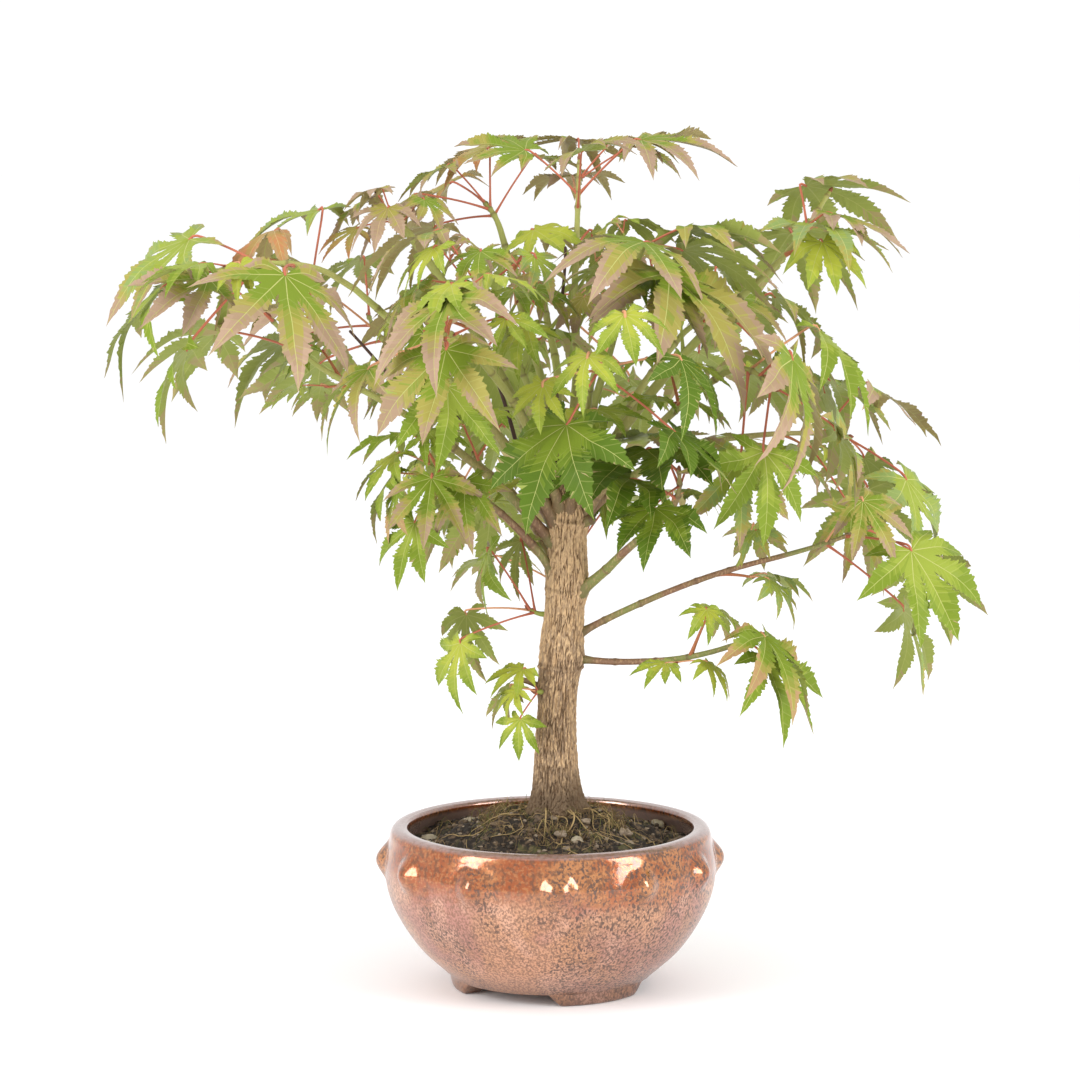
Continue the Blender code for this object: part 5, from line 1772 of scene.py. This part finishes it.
def make_boughs(s):
    """Every bough, grown on into its spray's stem, and the stubs of cut ones."""
    shape = Shape()
    for row in BOUGHS:
        rng = random.Random(row.node + "bark")
        bough, stem, spray = limb_line(row)
        path = bough + stem
        far = travel(path)
        nodes, joints = node_places(bough, stem, spray, rng)
        rings = {at + step for at in nodes + joints for step in NODE_RINGS if at + step < far[-1]}
        path, far = insert_points(path, far, sorted(rings))
        start = far[-1] - travel(stem)[-1]
        radii = [limb_radius(row, at, start, far[-1], nodes, joints) for at in far]
        shades = [limb_shade(at, nodes + joints) for at in far]
        add_tube(shape, path, radii, LIMB_SIDES, 0, rough(0.00007, 900), shades)
    shades = [0.35] * (STUB_POINTS - 2) + [0.85] * 2
    for foot, heading, end, radius in STUBS:
        start = trunk_centre(foot) + direction(heading, 0) * BOUGH_START
        path = bend(start, (start + end) / 2 + UP * 0.002, end, STUB_POINTS)
        radii = [radius * (1.35 - 0.35 * min(i / 8, 1)) for i in range(STUB_POINTS)]
        add_tube(shape, path, radii, LIMB_SIDES, 0, rough(0.00012, 700), shades)
    boughs = shape.make("boughs_bark", [limb_finish(s)], 60.0)
    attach(boughs, "root")
    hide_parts(*(row.node for row in BOUGHS))


# -------- twigs and stalks

TWIG_SLOTS = ("stem", "stem_red", "stalk_red", "stalk_pink", "dark", "bud")
STEM, STEM_RED, STALK_RED, STALK_PINK, DARK, BUD = range(6)
BUD_OUTLINE = ((0, 0.16), (0.2, 0.27), (0.45, 0.30), (0.7, 0.22), (0.9, 0.10), (1.0, 0.03))
STALK_SIDES = 7
COMMON_LEAF, STALK_GROWTH = 0.05, 0.4  # the leaf of the plain radius, how others' grow


def add_bud(shape, place, way, size):
    """A small pointed bud."""
    way = way.normalized()
    path = [place + way * size * along for along, _ in BUD_OUTLINE]
    add_tube(shape, path, [size * radius for _, radius in BUD_OUTLINE], STALK_SIDES, BUD)


def add_stalk(shape, leaf, radius, slot):
    """A leaf's stalk, thicker at its clasp, running under the leaf's foot."""
    path = through(list(leaf.stalk) + [leaf_foot(leaf) - leaf.normal * BLADE], 3)
    last = len(path) - 1
    r = radius * (leaf.size / COMMON_LEAF) ** STALK_GROWTH
    plain, clasp, over, end = 0.86, 0.75, 0.9, 0.22
    radii = [r * (plain + clasp * math.exp(-i / over) + end * (i / last) ** 4) for i in range(last + 1)]
    add_tube(shape, path, radii, STALK_SIDES, slot)


def obstacles():
    """The solids, as trees to test against."""
    trees = []
    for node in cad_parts.values():
        low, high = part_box(node.name)
        mesh = node.data
        faces = [tuple(p.vertices) for p in mesh.polygons]
        trees.append((BVHTree.FromPolygons([v.co.copy() for v in mesh.vertices], faces), low, high))
    return trees


def leaf_fan(leaf):
    """A leaf as a coarse fan, for tests."""
    rim = [tip_of(leaf, lobe) for lobe in range(len(LOBE_ANGLES))]
    return [leaf_foot(leaf)] + rim, [(0, i, i + 1) for i in range(1, len(rim))]


TEST_WIDTH = 0.0012  # half the width at which a twig is tested
KEPT_IN = 0.002  # how far inside the whole plant's box new parts stay


def strip(path):
    """A path as a three-sided tube, for tests."""
    points, quads, ends = tube(path, [TEST_WIDTH] * len(path), 3)
    return points, quads + ends


def clear(points, faces, trees):
    """Whether a part stays inside the plant's reach and clear of what is there."""
    reach_low, reach_high = CAD_BOX
    part_low, part_high = box_of(points)
    if any(part_low[i] < reach_low[i] + KEPT_IN or part_high[i] > reach_high[i] - KEPT_IN for i in range(3)):
        return False
    tree = BVHTree.FromPolygons(points, faces)
    for other, low, high in trees:
        if all(part_low[i] < high[i] and part_high[i] > low[i] for i in range(3)) and tree.overlap(other):
            return False
    return True


class SideTwig(NamedTuple):
    """A finer twig with a pair of young leaves."""
    spray: str
    path: list
    leaves: list


SIDE_TWIGS, SIDE_TWIG_TRIES = 2, 40  # wanted on each bough, and places tried
ALONG_STEP = 0.004  # to see where the limb heads
BARE_BELOW = ("right_low",)  # boughs with no finer twigs under them
YOUNG_CLASP = 0.0006  # how far before the twig's end the stalks leave it


def young_pair(spray, twig, rng):
    """Two opposite young leaves on a twig's end."""
    along = slope(twig, len(twig) - 1)
    level = level_across(along)
    leaves = []
    for side in (-1, 1):
        head = (along * 0.7 + level * side * 0.7 + UP * 0.25).normalized()
        reach = rng.uniform(0.006, 0.013)
        foot = twig[-1] - along * YOUNG_CLASP
        base = foot + head * reach - UP * reach * STALK_BOW
        stalk = bend(foot, foot + head * reach / 2, base, STALK_POINTS)
        turn = math.degrees(math.atan2(head.y, head.x)) + rng.uniform(-22, 22)
        axis, normal = blade_lie(turn, rng.uniform(5, 45), rng.uniform(-24, 24))
        size, sag = rng.uniform(0.015, 0.026), rng.uniform(0.1, 0.4)
        leaves.append(Leaf(spray.name, stalk, axis, normal, size, sag, rng.random()))
    return leaves


def side_twigs():
    """The finer twigs, each with two young leaves, that touch nothing."""
    trees, twigs = obstacles(), []
    for row in BOUGHS:
        rng = random.Random(row.node + "twigs")
        bough, stem, spray = limb_line(row)
        path = bough + stem
        far = travel(path)
        found = 0
        for _ in range(SIDE_TWIG_TRIES):
            at = far[-1] * rng.uniform(0.42, 0.96)
            foot = point_at(path, far, at)
            along = point_at(path, far, at + ALONG_STEP) - point_at(path, far, at - ALONG_STEP)
            along.normalize()
            level = level_across(along)
            above = along.cross(level)
            around, lean = rng.uniform(0, math.tau), math.radians(rng.uniform(38, 66))
            out = level * math.cos(around) + above * math.sin(around)
            way = (along * math.cos(lean) + out * math.sin(lean) + UP * 0.35).normalized()
            reach = rng.uniform(0.007, 0.018)
            arch = UP * reach * 0.05
            twig = bend(foot, foot + way * reach / 2 + arch, foot + way * reach, 8)
            leaves = young_pair(spray, twig, rng)
            parts = [strip(twig[2:])] + [leaf_fan(leaf) for leaf in leaves]
            parts += [strip(leaf.stalk) for leaf in leaves]
            hangs = twig[-1].z < foot.z and row.name in BARE_BELOW
            if not hangs and all(clear(*part, trees) for part in parts):
                twigs.append(SideTwig(spray.name, twig, leaves))
                trees += [(BVHTree.FromPolygons(*part), *box_of(part[0])) for part in parts]
                found += 1
            if found == SIDE_TWIGS:
                break
    return twigs


DEAD_TWIGS = (  # from, to and radius
    (Vector((-0.012, -0.004, 0.205)), Vector((-0.021, -0.012, 0.236)), 0.00075),
    (Vector((0.010, -0.006, 0.208)), Vector((0.003, -0.018, 0.222)), 0.0007),
    (Vector((-0.022, -0.006, 0.212)), Vector((-0.038, -0.012, 0.221)), 0.0007),
    (Vector((0.004, -0.004, 0.262)), Vector((0.0055, -0.006, 0.283)), 0.0006),
    (Vector((-0.052, -0.010, 0.224)), Vector((-0.075, -0.014, 0.252)), 0.0006),
)
DEAD_BOW, DEAD_POINTS, TWIG_SIDES, STEM_SIDES = Vector((0.0008, 0, 0.0006)), 8, 8, 9
STEM_ROOT = 0.004  # how far inside the bark a stem starts
SIDE_TWIG_SLOTS, YOUNG_STALK_SLOTS = (STEM, STEM, STEM_RED), (STALK_RED, STALK_PINK, STALK_PINK)
RED_DRESSES, RED_SHARE, PLAIN_SHARE = {"mauve", "bronze", "ripe", "turning"}, 0.85, 0.5
YOUNG_BUD, END_BUD_SUNK, YOUNG_BUD_SUNK, SIDE_BUD_OFF = 0.0018, 0.0003, 0.0002, 0.0008


def make_twigs(s):
    """Stems off the trunk, finer twigs, leaf stalks, buds and dead twigs, joined."""
    shape = Shape()
    for row in SPRAYS:
        rng = random.Random(row.seed + 0.75)
        stem = through(stem_path(row, *spray_start(row)), STEM_STEPS)
        if row.name in TRUNK_SPRAY_HEIGHTS:
            outward = (stem[1] - stem[0]).normalized()
            start = trunk_centre(TRUNK_SPRAY_HEIGHTS[row.name]) + outward * STEM_ROOT
            radii = falling(STEM_RADIUS, 1.05, 0.45, len(stem), len(stem) + 1)
            add_tube(shape, [start] + stem, radii, STEM_SIDES, STEM)
        way = slope(stem, len(stem) - 1)
        add_bud(shape, stem[-1] - way * END_BUD_SUNK, way, rng.uniform(0.0022, 0.0034))
        red_share = RED_SHARE if RED_DRESSES & set(row.wears.split()) else PLAIN_SHARE
        for leaf in grown_leaves(row):
            add_stalk(shape, leaf, s.stalk_radius, STALK_RED if rng.random() < red_share else STALK_PINK)
            head = (leaf.stalk[1] - leaf.stalk[0]).normalized()
            foot = leaf.stalk[0] + (way * 0.5 + head).normalized() * SIDE_BUD_OFF
            add_bud(shape, foot, way + head * 0.4, rng.uniform(0.0012, 0.0021))
    for twig in side_twigs():
        rng = random.Random(twig.path[0].x)
        last = len(twig.path) - 1
        thick, loss, clasp = 0.00072, 0.00026, 0.0004
        radii = [thick - loss * i / last + clasp * math.exp(-i) for i in range(last + 1)]
        add_tube(shape, twig.path, radii, TWIG_SIDES, rng.choice(SIDE_TWIG_SLOTS))
        way = slope(twig.path, last)
        add_bud(shape, twig.path[-1] - way * YOUNG_BUD_SUNK, way, YOUNG_BUD)
        for leaf in twig.leaves:
            add_stalk(shape, leaf, s.stalk_radius * 0.9, rng.choice(YOUNG_STALK_SLOTS))
    for start, end, radius in DEAD_TWIGS:
        path = bend(start, (start + end) / 2 + DEAD_BOW, end, DEAD_POINTS)
        radii = falling(radius, 1.1, 0.2, DEAD_POINTS - 1, DEAD_POINTS)
        add_tube(shape, path, radii, TWIG_SIDES, DARK)
    finishes = [plain_finish("twig_" + name, getattr(s, name), 0.5, 2200.0, 0.00004) for name in TWIG_SLOTS]
    piece = shape.make("twigs_and_stalks", finishes, 60.0)
    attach(piece, "root")


# -------- leaves, joined by group

YOUNG_TEETH = (1, 2, 4, 4, 4, 2, 1)
EVEN_SMALLER = 0.95  # a blade's size, as a share of the solid's
SMALLER = {
    "front_left": 0.88, "front_right": 0.88, "top_left": 0.86, "right_upper": 0.90,
    "back": 0.80, "back_left": 0.88, "back_right": 0.88,
}
SMALLER_LEAVES = {  # single leaves, by their spray and their turn in it
    ("left_upper", 3): 0.66, ("left_middle", 2): 0.85, ("back_left", 0): 0.84,
    ("front_right", 4): 0.84, ("front_right", 1): 0.86, ("right_upper", 0): 0.80,
    ("right_upper", 5): 0.78, ("right_stub", 1): 0.70, ("back", 2): 0.8,
    ("left_middle", 0): 0.86, ("left_middle", 3): 0.88, ("top_left", 0): 0.85,
}
DEAD_SAG = 1.1  # how far a dry leaf rolls up
OPEN_HEART = (0.006, 0.248, 0.036, 0.028)  # the crown's open heart: middle and half sizes, across and up
OPEN_SHARE = 0.48  # size of the young leaves left there
# lime and fresh in the heart are the young leaves' colours and partly painted light falling through them
OPEN_DRESSES = ("lime", "fresh", "tinted", "fresh")
SHADE_BELOW, SHADE_FRONT, SHADE_ACROSS = 0.232, -0.055, 0.06  # where the broad, dark leaves hang


def habit(leaf, dress, rng):
    """A leaf's dress, share of the solid's size, width and depth of cuts, by its place."""
    middle = leaf.stalk[-1] + leaf.axis * leaf.size * 0.5
    x, z, half_x, half_z = OPEN_HEART
    if ((middle.x - x) / half_x) ** 2 + ((middle.z - z) / half_z) ** 2 < 1:
        return rng.choice(OPEN_DRESSES), OPEN_SHARE, 0.9, 0.8
    if leaf.stalk[-1].z < SHADE_BELOW and middle.y < SHADE_FRONT and abs(middle.x) < SHADE_ACROSS:
        return rng.choice(("shade", "dark")), 1.0, 1.22, 1.12
    share = SMALLER.get(leaf.spray, EVEN_SMALLER)
    return dress, share, rng.uniform(0.74, 1.02), rng.uniform(0.66, 0.98)


def make_leaves(s):
    """All leaves, in one joined piece for each side of the crown."""
    form, young = LeafForm(LOBE_TEETH), LeafForm(YOUNG_TEETH)
    rows = {row.name: row for row in SPRAYS}
    twigs = side_twigs()
    finishes = leaf_finishes(s)
    for piece_name, names in GROUPS.items():
        shape = Shape()
        for name in names:
            rng = random.Random(rows[name].node)
            dresses = rows[name].wears.split()
            for i, leaf in enumerate(grown_leaves(rows[name])):
                dress, share, wide, deep = habit(leaf, dresses[i % len(dresses)], rng)
                share *= SMALLER_LEAVES.get((name, i), 1.0)
                if dress == "dead":
                    leaf = leaf._replace(sag=DEAD_SAG)
                add_leaf(shape, form, leaf._replace(size=leaf.size * share), dress, wide, deep)
            for twig in twigs:
                if twig.spray == name:
                    for leaf in twig.leaves:
                        add_leaf(shape, young, leaf, rng.choice(("fresh", "lime", "green", dresses[0])))
        piece = shape.make(piece_name, finishes, 65.0)
        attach(piece, "root")
        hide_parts(*(rows[name].node for name in names))


# -------- stage

CAMERA_PLACE = (-0.004, -1.3, 0.32)
CAMERA_TILT = 83.5  # degrees from straight down
CAMERA_LENS = 114.83  # mm
CAMERA_SENSOR = 36.0  # mm
FLOOR_HALF = 40.0
LAMP_PLACES = ((-1.11, -0.75, 0.61), (1.11, -0.75, 0.61))
LAMP_SIZE = (0.50, 0.90)  # of a window lamp: across, up
LAMP_AIM = Vector((0.0, 0.0, 0.15))


def make_stage(s):
    """Pale floor, even white surround, two window lamps and the camera."""
    scene = bpy.context.scene
    scene.view_settings.view_transform = "Standard"
    world = bpy.data.worlds.new("surround")
    world.use_nodes = True
    world.node_tree.nodes["Background"].inputs["Color"].default_value = (1.0, 1.0, 1.0, 1.0)
    world.node_tree.nodes["Background"].inputs["Strength"].default_value = s.sky
    scene.world = world
    mesh = bpy.data.meshes.new("floor")
    corners = [(x * FLOOR_HALF, y * FLOOR_HALF, 0) for x, y in ((-1, -1), (1, -1), (1, 1), (-1, 1))]
    mesh.from_pydata(corners, [], [(0, 1, 2, 3)])
    floor = bpy.data.objects.new("floor", mesh)
    scene.collection.objects.link(floor)
    finish = Finish("studio_floor", base_color=tuple(s.floor), roughness=0.75)
    mesh.materials.append(finish.material)
    for i, place in enumerate(LAMP_PLACES):
        light = bpy.data.lights.new("window_lamp", "AREA")
        light.shape = "RECTANGLE"
        light.size, light.size_y = LAMP_SIZE
        light.energy = s.lamps
        lamp = bpy.data.objects.new(f"window_lamp_{i + 1}", light)
        lamp.location = place
        lamp.rotation_euler = (LAMP_AIM - Vector(place)).to_track_quat("-Z", "Y").to_euler()
        scene.collection.objects.link(lamp)
    camera = bpy.data.objects.new("camera", bpy.data.cameras.new("camera"))
    camera.location = CAMERA_PLACE
    camera.rotation_euler = (math.radians(CAMERA_TILT), 0, 0)
    camera.data.lens = CAMERA_LENS
    camera.data.sensor_width = CAMERA_SENSOR
    scene.collection.objects.link(camera)
    scene.camera = camera


# -------- operators, panel and registration

class BONSAI_OT_stage(bpy.types.Operator):
    """Make the floor, the light and the camera"""
    bl_idname = "bonsai.make_stage"
    bl_label = "Stage"

    def execute(self, context):
        make_stage(context.scene.bonsai_stage)
        return {"FINISHED"}


class BONSAI_OT_bowl(bpy.types.Operator):
    """Make the glazed bowl"""
    bl_idname = "bonsai.make_bowl"
    bl_label = "Bowl"

    def execute(self, context):
        make_bowl(context.scene.bonsai_bowl)
        return {"FINISHED"}


class BONSAI_OT_soil(bpy.types.Operator):
    """Make the soil's surface"""
    bl_idname = "bonsai.make_soil"
    bl_label = "Soil"

    def execute(self, context):
        make_soil(context.scene.bonsai_soil)
        return {"FINISHED"}


class BONSAI_OT_grit(bpy.types.Operator):
    """Make the crumbs and pebbles on the soil"""
    bl_idname = "bonsai.make_grit"
    bl_label = "Crumbs and pebbles"

    def execute(self, context):
        make_grit(context.scene.bonsai_soil)
        return {"FINISHED"}


class BONSAI_OT_roots(bpy.types.Operator):
    """Make the fine roots and fibres on the soil"""
    bl_idname = "bonsai.make_roots"
    bl_label = "Fine roots"

    def execute(self, context):
        make_roots(context.scene.bonsai_soil)
        return {"FINISHED"}


class BONSAI_OT_trunk(bpy.types.Operator):
    """Make the trunk with its bark"""
    bl_idname = "bonsai.make_trunk"
    bl_label = "Trunk"

    def execute(self, context):
        make_trunk(context.scene.bonsai_bark)
        return {"FINISHED"}


class BONSAI_OT_boughs(bpy.types.Operator):
    """Make the boughs with their bark"""
    bl_idname = "bonsai.make_boughs"
    bl_label = "Boughs"

    def execute(self, context):
        make_boughs(context.scene.bonsai_bark)
        return {"FINISHED"}


class BONSAI_OT_twigs(bpy.types.Operator):
    """Make the finer twigs, the leaf stalks and the buds"""
    bl_idname = "bonsai.make_twigs"
    bl_label = "Twigs and stalks"

    def execute(self, context):
        make_twigs(context.scene.bonsai_twigs)
        return {"FINISHED"}


class BONSAI_OT_leaves(bpy.types.Operator):
    """Make the leaves, joined by the sides of the crown"""
    bl_idname = "bonsai.make_leaves"
    bl_label = "Leaves"

    def execute(self, context):
        make_leaves(context.scene.bonsai_leaves)
        return {"FINISHED"}


STEPS = (
    BONSAI_OT_stage, BONSAI_OT_bowl, BONSAI_OT_soil, BONSAI_OT_grit, BONSAI_OT_roots, BONSAI_OT_trunk,
    BONSAI_OT_boughs, BONSAI_OT_twigs, BONSAI_OT_leaves,
)
SETTINGS = {
    "bonsai_bowl": BowlSettings,
    "bonsai_soil": SoilSettings,
    "bonsai_bark": BarkSettings,
    "bonsai_twigs": TwigSettings,
    "bonsai_leaves": LeafSettings,
    "bonsai_stage": StageSettings,
}


class BONSAI_PT_sidebar(bpy.types.Panel):
    """The bonsai's makers and settings."""
    bl_idname = "BONSAI_PT_sidebar"
    bl_label = "Maple bonsai"
    bl_space_type = "VIEW_3D"
    bl_region_type = "UI"
    bl_category = "Bonsai"

    def draw(self, context):
        for step in STEPS:
            self.layout.operator(step.bl_idname)
        for name, kind in SETTINGS.items():
            box = self.layout.box()
            box.label(text=kind.__doc__)
            for setting in kind.__annotations__:
                label = setting.replace("_", " ").capitalize()
                box.prop(getattr(context.scene, name), setting, text=label)


CLASSES = tuple(SETTINGS.values()) + STEPS + (BONSAI_PT_sidebar,)


def register():
    """Make the settings, operators and panel known to Blender."""
    for kind in CLASSES:
        bpy.utils.register_class(kind)
    for name, kind in SETTINGS.items():
        setattr(bpy.types.Scene, name, bpy.props.PointerProperty(type=kind))


def unregister():
    """Undo register."""
    for name in SETTINGS:
        delattr(bpy.types.Scene, name)
    for kind in reversed(CLASSES):
        bpy.utils.unregister_class(kind)


def main():
    """Make every piece."""
    register()
    bpy.ops.bonsai.make_stage()
    bpy.ops.bonsai.make_bowl()
    bpy.ops.bonsai.make_soil()
    bpy.ops.bonsai.make_grit()
    bpy.ops.bonsai.make_roots()
    bpy.ops.bonsai.make_trunk()
    bpy.ops.bonsai.make_boughs()
    bpy.ops.bonsai.make_twigs()
    bpy.ops.bonsai.make_leaves()


if __name__ == "__main__":
    main()
